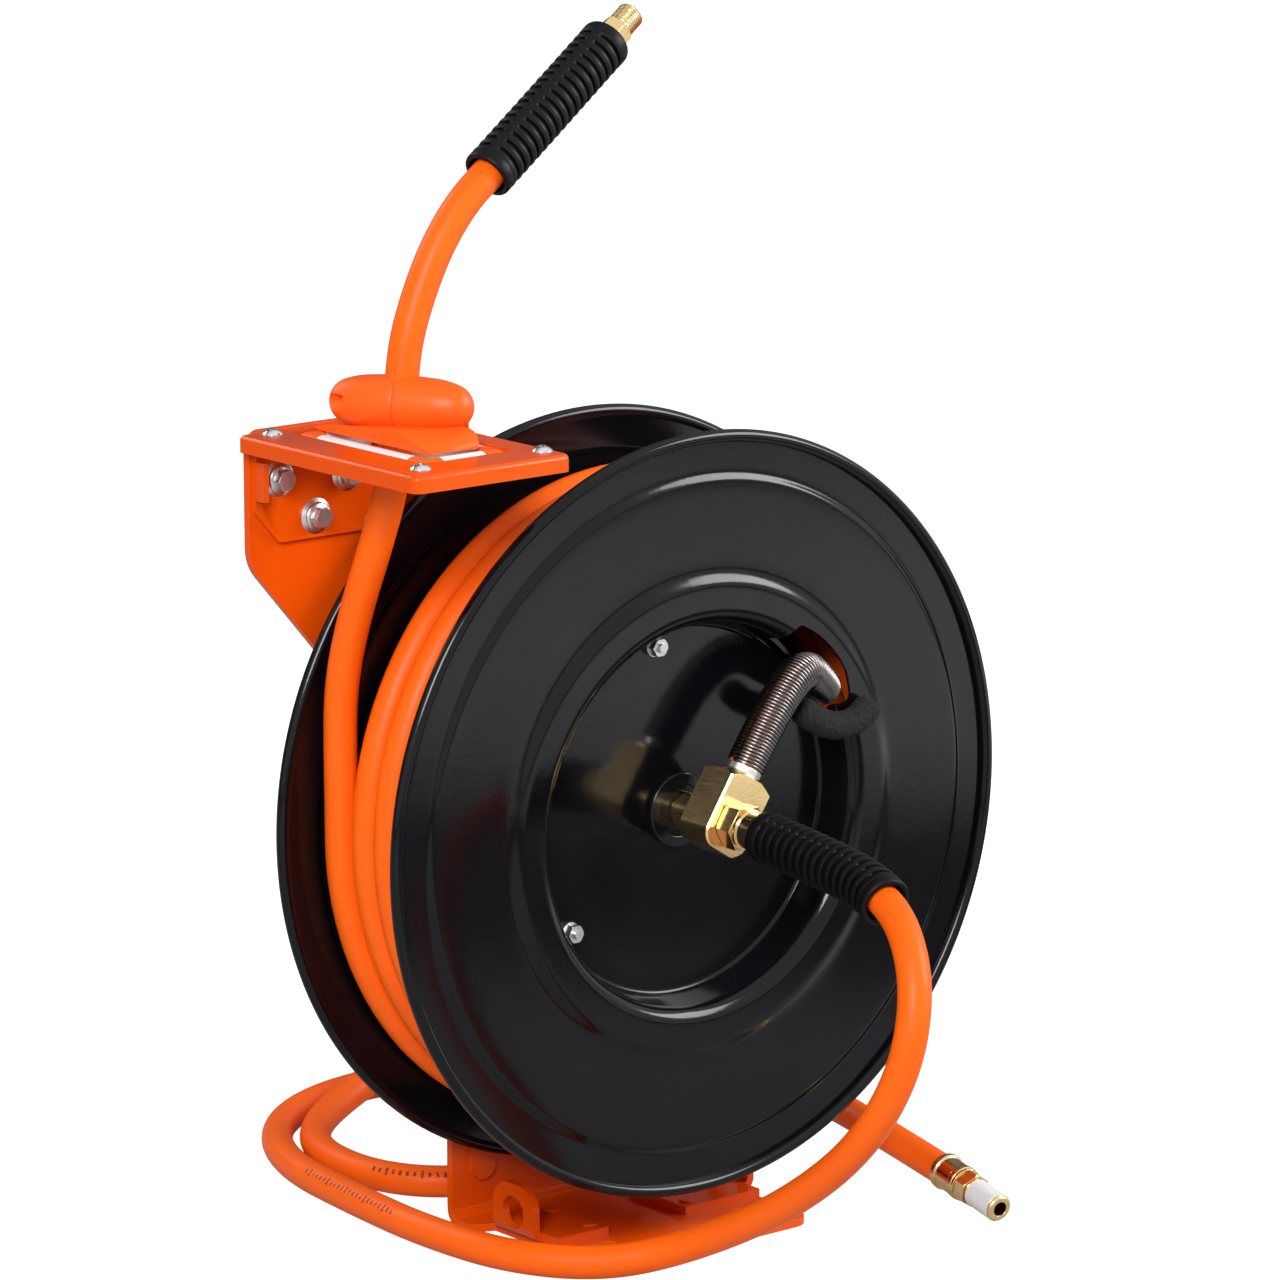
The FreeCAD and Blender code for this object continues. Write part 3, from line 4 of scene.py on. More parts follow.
import bmesh
import bpy
import numpy as np
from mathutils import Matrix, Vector


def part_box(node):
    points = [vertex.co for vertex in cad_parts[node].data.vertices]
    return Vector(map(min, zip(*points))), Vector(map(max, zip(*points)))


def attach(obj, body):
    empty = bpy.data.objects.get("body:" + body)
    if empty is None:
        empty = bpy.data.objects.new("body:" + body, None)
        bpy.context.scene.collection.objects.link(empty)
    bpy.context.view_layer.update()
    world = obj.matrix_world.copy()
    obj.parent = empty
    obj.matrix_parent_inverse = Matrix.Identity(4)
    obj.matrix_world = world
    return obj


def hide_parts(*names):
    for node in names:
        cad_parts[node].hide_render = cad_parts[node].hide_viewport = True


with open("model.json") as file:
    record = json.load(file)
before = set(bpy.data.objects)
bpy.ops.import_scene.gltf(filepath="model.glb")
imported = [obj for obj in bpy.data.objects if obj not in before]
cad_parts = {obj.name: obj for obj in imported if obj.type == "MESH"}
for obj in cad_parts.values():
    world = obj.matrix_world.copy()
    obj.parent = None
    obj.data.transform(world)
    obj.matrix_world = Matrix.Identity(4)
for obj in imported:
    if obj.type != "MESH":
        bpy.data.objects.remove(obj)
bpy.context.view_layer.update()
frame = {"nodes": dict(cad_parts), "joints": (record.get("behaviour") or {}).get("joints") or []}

# Camera: a long lens three metres off, 39 degrees round to the left of the drum's axle and 12
# degrees above the hub, without roll.
camera_turn = math.radians(-39.47)
camera_rise = math.radians(12.32)
camera_place = (-1.8362, -2.2271, 0.9189)
camera_data = bpy.data.cameras.new("camera")
camera_data.lens = 175.5
camera_data.sensor_width = 36.0
camera = bpy.data.objects.new("camera", camera_data)
camera.location = camera_place
back = Vector((
    math.sin(camera_turn) * math.cos(camera_rise),
    -math.cos(camera_turn) * math.cos(camera_rise),
    math.sin(camera_rise),
))
camera.rotation_euler = (-back).to_track_quat("-Z", "Y").to_euler()
bpy.context.scene.collection.objects.link(camera)
bpy.context.scene.camera = camera
bpy.context.scene.view_settings.view_transform = "Standard"


# Sheet-metal frame: arm and foot bent from one 4 mm sheet, and two ear brackets riveted to the
# foot, powder-coated in a glossy red-orange that shows a fine orange peel.
class Wire:
    """A shader socket in Python sums: each operator adds its Math node to the socket's tree."""

    def __init__(self, nodes, socket):
        self.nodes = nodes
        self.socket = socket

    def math(self, operation, *others):
        inputs = dict(enumerate((self, *others)))
        return self.nodes.node("Math", {"operation": operation}, inputs)

    def __add__(self, other):
        return self.math("ADD", other)

    def __sub__(self, other):
        return self.math("SUBTRACT", other)

    def __rsub__(self, other):
        return self.nodes.node("Math", {"operation": "SUBTRACT"}, {0: other, 1: self})

    def __mul__(self, other):
        return self.math("MULTIPLY", other)

    def __truediv__(self, other):
        return self.math("DIVIDE", other)

    def __gt__(self, other):
        return self.math("GREATER_THAN", other)

    def __lt__(self, other):
        return self.math("LESS_THAN", other)

    __radd__ = __add__
    __rmul__ = __mul__


class Nodes:
    """A shader's node tree, and the one way in which nodes are added to it."""

    def __init__(self, tree):
        self.tree = tree

    def fill(self, socket, value):
        """Sets a socket to a value, or links a wire to it."""
        if isinstance(value, Wire):
            self.tree.links.new(value.socket, socket)
        else:
            socket.default_value = value

    def node(self, kind, settings=(), inputs=(), output=0):
        """Adds a node, sets it up, then fills its sockets; gives one of its outputs."""
        node = self.tree.nodes.new("ShaderNode" + kind)
        for name, value in dict(settings).items():
            if name == "stops":
                ramp = node.color_ramp.elements
                for place, (position, color) in enumerate(value):
                    stop = ramp[place] if place < len(ramp) else ramp.new(position)
                    stop.position = position
                    stop.color = (*color, 1.0)
            else:
                setattr(node, name, value)
        for name, value in dict(inputs).items():
            self.fill(node.inputs[name], value)
        return Wire(self, node.outputs[output])


class Finish(Nodes):
    """One material of the reel, with a principled shader that its nodes feed. The colour and
    roughness given first are the plain ones, for a viewer that reads no nodes."""

    def __init__(self, name, color, roughness, metallic=0.0, **fixed):
        self.material = bpy.data.materials.new(name)
        self.material.use_nodes = True
        super().__init__(self.material.node_tree)
        self.shader = self.tree.nodes["Principled BSDF"]
        self.put("Base Color", (*color, 1.0))
        self.put("Roughness", roughness)
        self.put("Metallic", metallic)
        for socket, value in fixed.items():
            self.put(socket, value)

    def put(self, name, value):
        """A value or a wire for one of the shader's own sockets."""
        self.fill(self.shader.inputs[name], value)

    def place(self):
        """The point of the surface in the object's own coordinates, in metres."""
        return self.node("TexCoord", output="Object")

    def noise(self, scale, detail=2.0, stretch=(1.0, 1.0, 1.0)):
        """Noise from 0 to 1, with its scale in cycles a metre."""
        spread = self.node("Mapping", {}, {"Vector": self.place(), "Scale": stretch})
        return self.node("TexNoise", {}, {"Vector": spread, "Scale": scale, "Detail": detail})

    def mix(self, share, low, high):
        """Colour between two, by a share from 0 to 1; the low one may be a wire."""
        low = low if isinstance(low, Wire) else (*low, 1.0)
        return self.node("Mix", {"data_type": "RGBA"}, {0: share, 6: low, 7: (*high, 1.0)}, output=2)

    def bump(self, height, distance):
        """Raises the surface by a height from 0 to 1 times a distance in metres."""
        self.put("Normal", self.node("Bump", {}, {"Height": height, "Distance": distance}))


def orange_paint():
    """Powder coat: base colour drifts a little, the gloss is broken by a peel 2 mm wide."""
    finish = Finish("orange_paint", (0.70, 0.070, 0.002), 0.2, IOR=1.31)
    drift = finish.noise(14.0, 3.0)
    finish.put("Base Color", finish.mix(drift, (0.66, 0.062, 0.001), (0.78, 0.090, 0.002)))
    dust = finish.noise(90.0, 4.0)
    finish.put("Roughness", 0.12 + dust * 0.13)
    finish.bump(finish.noise(420.0, 2.0), 0.00005)
    return finish.material


def take(piece, finish, body, nodes=()):
    """Gives a piece its material and material slot and its body, and hides the nodes that it stands for.
    """
    piece.data.materials.clear()
    piece.data.materials.append(finish)
    if nodes:
        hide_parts(*nodes)
    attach(piece, body)
    return piece


merge_reach = 2e-6
flat_turn = math.radians(0.4)
smooth_turn = math.radians(28)
bevel_turn = math.radians(32)


def dressed(node, finish, body, ease=0.0004):
    """A copy of a node's mesh: loose triangles merged, flat faces joined, curved ones smooth and
    the corners eased with a small bevel, as sheet metal and turned parts have them."""
    mesh = frame["nodes"][node].data.copy()
    shape = bmesh.new()
    shape.from_mesh(mesh)
    bmesh.ops.remove_doubles(shape, verts=shape.verts, dist=merge_reach)
    bmesh.ops.dissolve_limit(shape, angle_limit=flat_turn, verts=shape.verts, edges=shape.edges)
    for face in shape.faces:
        face.smooth = True
    for edge in shape.edges:
        edge.smooth = len(edge.link_faces) == 2 and edge.calc_face_angle(0.0) < smooth_turn
    shape.to_mesh(mesh)
    shape.free()
    piece = bpy.data.objects.new(node + "_piece", mesh)
    bpy.context.scene.collection.objects.link(piece)
    if ease:
        bevel = piece.modifiers.new("eased_edges", "BEVEL")
        bevel.width = ease
        bevel.segments = 2
        bevel.limit_method = "ANGLE"
        bevel.angle_limit = bevel_turn
    return take(piece, finish, body, [node])


paint = orange_paint()
dressed("mount_arm", paint, "frame", ease=0.0006)
for node in ("left_ear_bracket", "right_ear_bracket", "bracket_rivets"):
    dressed(node, paint, "frame", ease=0.0005)


# Guide tray: a shallow tray of the same sheet and coat, bolted to the arm's top, whose press
# leaves its upper edges and front corners well rounded.
tray = dressed("guide_bracket", paint, "frame", ease=0.0)
tray_low, tray_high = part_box("guide_bracket")
tray_rounding = 0.0028
shortest_edge = 0.004
near = 0.0005


def tray_rim(middle, way):
    """True for the tray's upper outer edges and its front corners."""
    side = min(abs(middle.x - tray_low[0]), abs(middle.x - tray_high[0])) < near
    end = abs(middle.y - tray_low[1]) < near
    top = abs(middle.z - tray_high[2]) < near
    return (top and (side or end)) or (side and end and abs(way.z) > 0.9)


def softened(piece, chosen, width):
    """Rounds the edges of a mesh whose middle and direction answer to chosen, as a press does."""
    shape = bmesh.new()
    shape.from_mesh(piece.data)
    edges = []
    for edge in shape.edges:
        first, last = (corner.co for corner in edge.verts)
        if edge.calc_length() > shortest_edge and chosen((first + last) / 2, (last - first).normalized()):
            edges.append(edge)
    bmesh.ops.bevel(shape, geom=edges, offset=width, segments=5, profile=0.5, affect="EDGES")
    for face in shape.faces:
        face.smooth = True
    shape.to_mesh(piece.data)
    shape.free()
    piece.data.set_sharp_from_angle(angle=bevel_turn)


softened(tray, tray_rim, tray_rounding)


# Fasteners, pins, the springs' arbor, the ratchet and its pawl, and the drum's tie bolts:
# zinc-plated steel, with a faint bluish cloud over the plating.
def zinc_steel():
    """Plating: bright metal whose roughness and tint drift in clouds a few millimetres wide."""
    finish = Finish("zinc_steel", (0.62, 0.63, 0.64), 0.3, 1.0)
    cloud = finish.noise(160.0, 4.0)
    finish.put("Base Color", finish.mix(cloud, (0.50, 0.51, 0.53), (0.74, 0.74, 0.72)))
    finish.put("Roughness", 0.2 + finish.noise(700.0, 3.0) * 0.24)
    finish.bump(finish.noise(1500.0, 2.0), 0.00002)
    return finish.material


zinc = zinc_steel()
for node in ("axle_bolts", "axle_nuts", "guide_nuts", "roller_pins"):
    dressed(node, zinc, "frame", ease=0.00025)
for node in ("spring_arbor", "pawl_pin", "pawl_spring"):
    dressed(node, zinc, "frame", ease=0.0)
for node in ("tie_spacers", "tie_bolts", "tie_nuts", "ratchet_wheel", "ratchet_screws"):
    dressed(node, zinc, "drum", ease=0.0002)
dressed("pawl", zinc, "pawl_body", ease=0.0003)


# Drum flanges: two discs pressed from black-enamelled sheet, each with a deep centre dish, a
# raised ring, a sunk band and a rolled rim bead; the front one has the hose's opening cut out.
def black_enamel():
    """Gloss enamel: nearly black, with a faint peel and a little dust in its gloss."""
    finish = Finish("black_enamel", (0.003, 0.003, 0.004), 0.1, IOR=1.33)
    dust = finish.noise(60.0, 5.0)
    finish.put("Roughness", 0.08 + dust * 0.10)
    drift = finish.noise(25.0, 3.0)
    finish.put("Base Color", finish.mix(drift, (0.0012, 0.0014, 0.0022), (0.0036, 0.0040, 0.0056)))
    finish.bump(finish.noise(260.0, 2.0), 0.00003)
    return finish.material


def rounded(corners, radii, step=math.radians(6)):
    """Outline through the corners, each turned with an arc of its radius, as an (n, 2) array."""
    corners = np.array(corners, float)
    outline = [corners[:1]]
    for here, before, after, radius in zip(corners[1:-1], corners[:-2], corners[2:], radii[1:-1]):
        arriving = (here - before) / np.linalg.norm(here - before)
        leaving = (after - here) / np.linalg.norm(after - here)
        half = math.acos(float(np.clip(arriving @ leaving, -1, 1))) / 2
        count = max(int(2 * half / step), 2)
        spread = np.linspace(-half, half, count + 1)[:, None]
        inward = (leaving - arriving) / np.linalg.norm(leaving - arriving)
        along = (leaving + arriving) / np.linalg.norm(leaving + arriving)
        centre = here + inward * radius / math.cos(half)
        outline.append(centre - inward * radius * np.cos(spread) + along * radius * np.sin(spread))
    outline.append(corners[-1:])
    return np.concatenate(outline)


def surface(name, points, closed=(False, True), caps=False, lengths=None):
    """A mesh over a grid of points: (rows, columns, 3), joined up where closed says. Its UV map
    holds the row's length in metres along U and the share of the way round along V."""
    rows, columns = points.shape[:2]
    row = np.arange(rows if closed[0] else rows - 1)
    column = np.arange(columns if closed[1] else columns - 1)
    row, column = (a.ravel() for a in np.meshgrid(row, column, indexing="ij"))
    next_row, next_column = (row + 1) % rows, (column + 1) % columns
    quads = np.stack([
        row * columns + column,
        row * columns + next_column,
        next_row * columns + next_column,
        next_row * columns + column,
    ], axis=1)
    faces = quads.tolist()
    if caps:
        faces.append(list(range(columns))[::-1])
        faces.append([(rows - 1) * columns + k for k in range(columns)])
    mesh = bpy.data.meshes.new(name)
    mesh.from_pydata(points.reshape(-1, 3).tolist(), [], faces)
    mesh.polygons.foreach_set("use_smooth", [True] * len(quads) + [False] * (len(faces) - len(quads)))
    if lengths is not None:
        lengths = np.append(lengths, lengths[-1])
        corner_row = np.stack([row, row, row + 1, row + 1], axis=1)
        corner_column = np.stack([column, column + 1, column + 1, column], axis=1)
        uv = np.stack([lengths[corner_row], corner_column / columns], axis=2).reshape(-1, 2)
        uv = np.concatenate([uv, np.zeros((len(mesh.loops) - len(uv), 2))])
        mesh.uv_layers.new(name="UVMap").data.foreach_set("uv", uv.ravel())
    mesh.validate()
    if caps:
        mesh.set_sharp_from_angle(angle=math.radians(60))
    piece = bpy.data.objects.new(name, mesh)
    bpy.context.scene.collection.objects.link(piece)
    return piece


drum_joint = next(joint for joint in frame["joints"] if joint["name"] == "drum_spin")
axle_height = drum_joint["pos_m"][2]


def turned(name, outline, steps=288):
    """A closed outline of (radius, y) points carried round the drum's axle."""
    angles = np.linspace(0, 2 * math.pi, steps, endpoint=False)
    radius, y = outline[:, 0], outline[:, 1]
    points = np.stack([
        np.outer(np.cos(angles), radius),
        np.broadcast_to(y, (steps, len(y))),
        axle_height + np.outer(np.sin(angles), radius),
    ], axis=2)
    return surface(name, points, closed=(True, True))


def normals_out(piece):
    """Turns the faces of a closed mesh outwards."""
    shape = bmesh.new()
    shape.from_mesh(piece.data)
    bmesh.ops.remove_doubles(shape, verts=shape.verts, dist=1e-7)
    bmesh.ops.recalc_face_normals(shape, faces=shape.faces)
    shape.to_mesh(piece.data)
    shape.free()


enamel = black_enamel()
rim_radius = 0.184
rim_y = 0.0435
sheet = 0.0015
bead_radius = 0.003
bead_start = 199.5
bead_end = -123.6
dish_radius = 0.0895
dish_floor_y = 0.02475
ring_y = 0.0465
rim_band_y = 0.0425
flange_corners = [
    (0.01605, dish_floor_y),
    (dish_radius, dish_floor_y),
    (0.0930, ring_y),
    (0.1115, ring_y),
    (0.1165, 0.0442),
    (0.1605, 0.0441),
    (0.1632, rim_band_y),
    (0.17817, rim_band_y),
]
flange_radii = [0, 0.0025, 0.0080, 0.0100, 0.0130, 0.0050, 0.0040, 0]


def pressed_flange(name, side):
    """Sheet between its outer outline and the same outline a sheet lower, closed by the bead."""
    outer = rounded(flange_corners, flange_radii)
    run = np.gradient(outer, axis=0)
    normal = np.stack([run[:, 1], -run[:, 0]], axis=1) / np.linalg.norm(run, axis=1, keepdims=True)
    inner = outer + normal * sheet
    turn = np.radians(np.linspace(bead_start, bead_end, 40))
    centre = np.array([rim_radius - bead_radius, rim_y])
    bead = centre + bead_radius * np.stack([np.cos(turn), np.sin(turn)], axis=1)
    divided = [np.linspace(a, b, 7, endpoint=False) for a, b in zip(outer[:-1], outer[1:])]
    long = np.linalg.norm(np.diff(outer, axis=0), axis=1) > 0.004
    front = np.concatenate([d if far else d[:1] for d, far in zip(divided, long)] + [outer[-1:]])
    outline = np.concatenate([front, bead[1:-1], inner[::-1]])
    outline[:, 1] *= side
    piece = turned(name, outline)
    normals_out(piece)
    return piece


front_flange = pressed_flange("front_flange_pressing", -1)
back_flange = pressed_flange("back_flange_pressing", 1)
take(back_flange, enamel, "drum", ["back_flange"])

opening_front_y = -0.060
opening_back_y = -0.02525
opening_outline = (
    (0.086, 60.0),
    (0.1030, 55.5),
    (0.1052, 48.0),
    (0.1055, 41.0),
    (0.1055, 34.0),
    (0.1005, 26.0),
    (0.086, 26.5),
)
opening_radii = (0.002, 0.004, 0.04, 0.06, 0.02, 0.004, 0.002)


def closed_outline(points, radii):
    """Closed outline with every corner rounded."""
    ring = [points[-1], *points, points[0]]
    return rounded(ring, [0, *radii, 0], math.radians(12))[1:-1]


corners = [(r * math.cos(math.radians(a)), r * math.sin(math.radians(a))) for r, a in opening_outline]
hole = closed_outline(corners, opening_radii)
hole_rows = np.stack([
    np.stack([hole[:, 0], np.full(len(hole), y), hole[:, 1] + axle_height], axis=1)
    for y in (opening_front_y, opening_back_y)
])
cutter = surface("opening_cutter", hole_rows, closed=(False, True), caps=True)
normals_out(cutter)


def cut(piece, tool):
    """Cuts the tool's volume out of a piece and keeps the result as its mesh."""
    boolean = piece.modifiers.new("cut", "BOOLEAN")
    boolean.operation = "DIFFERENCE"
    boolean.solver = "EXACT"
    boolean.object = tool
    view = bpy.context.evaluated_depsgraph_get()
    mesh = bpy.data.meshes.new_from_object(piece.evaluated_get(view))
    piece.modifiers.clear()
    piece.data = mesh
    for polygon in mesh.polygons:
        polygon.use_smooth = True
    mesh.set_sharp_from_angle(angle=math.radians(38))


cut(front_flange, cutter)
bpy.data.objects.remove(cutter)
take(front_flange, enamel, "drum", ["front_flange"])
for node in ("drum_core", "spring_case", "spring_cover"):
    dressed(node, enamel, "drum", ease=0.0)


# Bushes: two black plastic bearings pressed into the flanges' centres; the front one shows as a
# shiny ring round the spindle. The axle that they turn on is enamelled like the flanges.
def black_plastic():
    """Moulded plastic: black and glossy, a little uneven."""
    finish = Finish("black_plastic", (0.004, 0.004, 0.005), 0.16, IOR=1.42)
    finish.put("Roughness", 0.12 + finish.noise(300.0, 3.0) * 0.12)
    finish.bump(finish.noise(900.0, 1.0), 0.00002)
    return finish.material


plastic_black = black_plastic()
for node in ("front_bush", "back_bush"):
    dressed(node, plastic_black, "drum", ease=0.0005)
dressed("axle", enamel, "frame", ease=0.00025)


# Hose: soft orange air hose, 15.7 mm over its cover, with a row of small dark ticks along one
# side. Each free stretch is one smooth line through the points that its solid follows.
tick_side = 0.25
tick_step = 0.0034
tick_stretches = ((0.520, 0.602), (1.118, 1.165))


def orange_hose():
    """Cover: a satin orange with a faint mottle. The UV map places its ticks, every fifth longer."""
    finish = Finish("orange_hose", (0.90, 0.110, 0.006), 0.4, IOR=1.27)
    mottle = finish.noise(30.0, 3.0)
    color = finish.mix(mottle, (0.88, 0.110, 0.003), (0.96, 0.138, 0.006))
    uv = finish.node("UVMap", {"uv_map": "UVMap"})
    along = finish.node("SeparateXYZ", {}, {0: uv}, output="X")
    around = finish.node("SeparateXYZ", {}, {0: uv}, output="Y")
    stroke = (along / tick_step).math("FRACT") < 0.40
    fifth = (along / (5 * tick_step)).math("FRACT") < 0.2
    row = (around - tick_side).math("ABSOLUTE") < 0.028 + fifth * 0.014
    stretches = sum((along > start) * (along < end) for start, end in tick_stretches)
    worn = finish.noise(900.0, 2.0) > 0.42
    printed = row * stroke * stretches * worn * 0.85
    finish.put("Base Color", finish.mix(printed, color, (0.05, 0.018, 0.010)))
    finish.put("Roughness", 0.34 + finish.noise(240.0, 4.0) * 0.14)
    finish.bump(finish.noise(700.0, 3.0), 0.00002)
    return finish.material


hose_material = orange_hose()
hose_radius = 0.00785


def mesh_points(mesh):
    """The mesh's points as an (n, 3) array."""
    points = np.empty(len(mesh.vertices) * 3)
    mesh.vertices.foreach_get("co", points)
    return points.reshape(-1, 3)


def lengths_along(line):
    """The length of a line up to each of its points."""
    return np.concatenate([[0], np.cumsum(np.linalg.norm(np.diff(line, axis=0), axis=1))])


def read_at(wanted, lengths, rows):
    """Rows of three numbers that belong to some lengths, read off in between at the wanted ones."""
    return np.stack([np.interp(wanted, lengths, rows[:, k]) for k in range(3)], axis=1)


def smooth_line(points, spacing=0.004):
    """The route's own NURBS line, read off evenly: points every few millimetres."""
    curve = bpy.data.curves.new("route", "CURVE")
    curve.dimensions = "3D"
    spline = curve.splines.new("NURBS")
    spline.points.add(len(points) - 1)
    for control, point in zip(spline.points, points):
        control.co = (*point, 1.0)
    spline.order_u = 3
    spline.use_endpoint_u = True
    spline.resolution_u = 24
    route = bpy.data.objects.new("route", curve)
    bpy.context.scene.collection.objects.link(route)
    view = bpy.context.evaluated_depsgraph_get()
    mesh = bpy.data.meshes.new_from_object(route.evaluated_get(view))
    line = mesh_points(mesh)
    bpy.data.objects.remove(route)
    bpy.data.meshes.remove(mesh)
    reach = lengths_along(line)
    even = np.linspace(0, reach[-1], max(int(reach[-1] / spacing), 8))
    return read_at(even, reach, line)


def frames(line, start=(0.0, 0.0, 1.0)):
    """Directions along a line, and two across it that turn with it as little as they can."""
    way = np.gradient(line, axis=0)
    way /= np.linalg.norm(way, axis=1, keepdims=True)
    side = np.empty_like(way)
    side[0] = np.cross(way[0], start)
    side[0] /= np.linalg.norm(side[0])
    for k in range(1, len(way)):
        side[k] = side[k - 1] - way[k] * (side[k - 1] @ way[k])
        side[k] /= np.linalg.norm(side[k])
    return way, side, np.cross(way, side)


def tube(name, line, radius, sides=32, start=(0.0, 0.0, 1.0)):
    """A round tube about a line, closed flat at its ends, with its length along U."""
    way, side, other = frames(line, start)
    turn = np.linspace(0, 2 * math.pi, sides, endpoint=False)
    radius = np.broadcast_to(radius, len(line))[:, None, None]
    points = line[:, None] + radius * (
        side[:, None] * np.cos(turn)[:, None] + other[:, None] * np.sin(turn)[:, None]
    )
    return surface(name, points, caps=True, lengths=lengths_along(line))


inlet_way = np.array([0.0, -1.0, -0.095]) / math.hypot(1.0, 0.095)
inlet_seat = np.array([0.0, -0.0760, axle_height])
hose_in_ferrule = 0.0075
lead_start = inlet_seat + inlet_way * hose_in_ferrule
lead_points = [
    tuple(lead_start),
    tuple(lead_start + inlet_way * 0.0407),
    (-0.0010, -0.1650, 0.2013),
    (-0.0074, -0.1945, 0.1905),
    (-0.0179, -0.2158, 0.1645),
    (-0.0268, -0.2169, 0.1278),
    (-0.0324, -0.1928, 0.0877),
    (-0.0332, -0.1414, 0.0483),
    (-0.0444, -0.0884, 0.0193),
    (-0.0709, -0.0583, 0.0080),
    (-0.0982, -0.0206, 0.0080),
    (-0.1045, 0.0381, 0.0080),
    (-0.0998, 0.1005, 0.0080),
    (-0.0917, 0.1645, 0.0080),
    (-0.0639, 0.2170, 0.0080),
    (-0.0170, 0.2485, 0.0080),
    (0.0407, 0.2545, 0.0080),
    (0.0878, 0.2365, 0.0080),
    (0.1131, 0.2003, 0.0080),
    (0.1165, 0.1598, 0.0080),
    (0.0966, 0.1186, 0.0080),
    (0.0510, 0.0885, 0.0080),
    (-0.0109, 0.0799, 0.0080),
    (-0.0514, 0.0918, 0.0080),
    (-0.0709, 0.1260, 0.0080),
    (-0.0669, 0.1742, 0.0080),
    (-0.0444, 0.2073, 0.0096),
    (-0.0053, 0.2259, 0.0164),
    (0.0518, 0.2316, 0.0359),
    (0.1007, 0.2152, 0.0421),
    (0.1358, 0.1761, 0.0376),
    (0.1543, 0.1151, 0.0302),
    (0.1571, 0.0531, 0.0232),
    (0.1472, -0.0105, 0.0190),
    (0.1376, -0.0718, 0.0131),
]
lead_line = smooth_line(lead_points)
lead_hose = tube("lead_in_hose_cover", lead_line, hose_radius, start=(1.0, 0.0, 0.0))
take(lead_hose, hose_material, "frame", ["lead_in_hose"])

winding_radius = 0.1515
last_turn_rise = 0.0035
lane_pitch = 0.0163
lane_count = 5
last_lane = (lane_count - 1) * lane_pitch / 2
outlet_way = np.array([0.838, 0.193, 0.511])
outlet_way /= np.linalg.norm(outlet_way)
outlet_sleeve_start = np.array([-0.0913, 0.0012, 0.5185])
hose_in_sleeve = 0.085
outlet_end = outlet_sleeve_start + outlet_way * hose_in_sleeve
run_points = [
    (-winding_radius - last_turn_rise, last_lane, axle_height + 2 * hose_radius),
    (-0.1554, last_lane, 0.2520),
    (-0.1546, last_lane, 0.2840),
    (-0.1525, 0.0240, 0.3180),
    (-0.1505, 0.0110, 0.3500),
    (-0.1470, 0.00125, 0.3820),
    (-0.1426, 0.00125, 0.4200),
    (-0.1396, 0.00125, 0.4460),
    (-0.1310, 0.00125, 0.4690),
    (-0.1200, 0.00125, 0.4900),
    (-0.1050, 0.00125, 0.5085),
    (-0.0860, 0.00242, 0.5217),
    tuple(outlet_end),
]
run_line = smooth_line(run_points)
run_hose = tube("outlet_hose_cover", run_line, hose_radius, start=(-0.62, -0.75, 0.0))
take(run_hose, hose_material, "frame", ["hose_run", "outlet_hose"])


# Wound hose: the outer layer in five lanes, each lap easing over to the next lane, on a full
# layer below it that lies the other way.
lap_steps = 120
lane_held = 0.27
lane_eased = 0.71
layer_step = 0.0139


def lanes(name, radius, turns, mirrored, rise, nodes):
    """Hose wound clockwise from the bottom: a lap holds its lane, then eases one pitch over."""
    t = np.linspace(0, turns, int(turns * lap_steps) + 1)
    lap = np.floor(t + 1e-6)
    share = np.clip((t - lap - lane_held) / lane_eased, 0, 1)
    lane = np.minimum(lap + share * share * (3 - 2 * share), lane_count - 1)
    climb = np.clip(t - turns + 1, 0, 1)
    reach = radius + rise * climb * climb * (3 - 2 * climb)
    y = (lane * lane_pitch - last_lane) * (-1 if mirrored else 1)
    turn = np.radians(270 - 360 * t)
    line = np.stack([reach * np.cos(turn), y, axle_height + reach * np.sin(turn)], axis=1)
    first = line[0] - (line[1] - line[0]) / np.linalg.norm(line[1] - line[0]) * 2 * hose_radius
    last = line[-1] + np.array([0.0, 0.0, 2 * hose_radius])
    line = np.concatenate([[first], line, [last]])
    piece = tube(name, line, hose_radius, sides=24, start=(0.0, -1.0, 0.0))
    return take(piece, hose_material, "drum", nodes)


outer_turns = lane_count - 0.75
below_turns = lane_count - 0.02
below_radius = winding_radius - layer_step
lanes("wound_layer_outer", winding_radius, outer_turns, False, last_turn_rise, ["wound_hose"])
lanes("wound_layer_below", below_radius, below_turns, True, 0.0, ["inner_winding"])


# Swivel: a block of brass bar milled to a cone at its port, turning on a brass spindle, with the
# inlet's hexagon nut and ferrule in front.
def polished_brass():
    """Machined brass: warm metal with fine lines along the axle and clouds of darker tarnish."""
    finish = Finish("polished_brass", (0.85, 0.62, 0.30), 0.2, 1.0)
    lines = finish.noise(900.0, 2.0, stretch=(1.0, 0.06, 1.0))
    stain = finish.noise(120.0, 4.0)
    color = finish.mix(stain, (0.78, 0.53, 0.21), (0.90, 0.70, 0.38))
    finish.put("Base Color", color)
    finish.put("Roughness", 0.12 + lines * 0.16)
    finish.bump(lines, 0.00002)
    return finish.material


brass = polished_brass()
dressed("swivel_block", brass, "drum", ease=0.0005)
for node in ("swivel_spindle", "inlet_nut", "inlet_ferrule"):
    dressed(node, brass, "frame", ease=0.0004)


# Guard: stainless wire wound tight about the short hose from the swivel into the drum, seated on
# a pale ring at the port. The hidden rewind spring is of the same steel.
def spring_wire():
    """Drawn stainless wire, its colour darkened as a painted shade for the dark flange that it mirrors
    and the shade between its coils, with an uneven gloss.
    """
    finish = Finish("spring_wire", (0.17, 0.157, 0.152), 0.22, 1.0)
    finish.put("Roughness", 0.16 + finish.noise(900.0, 2.0) * 0.12)
    stain = finish.noise(160.0, 3.0)
    finish.put("Base Color", finish.mix(stain, (0.11, 0.10, 0.095), (0.23, 0.215, 0.21)))
    return finish.material


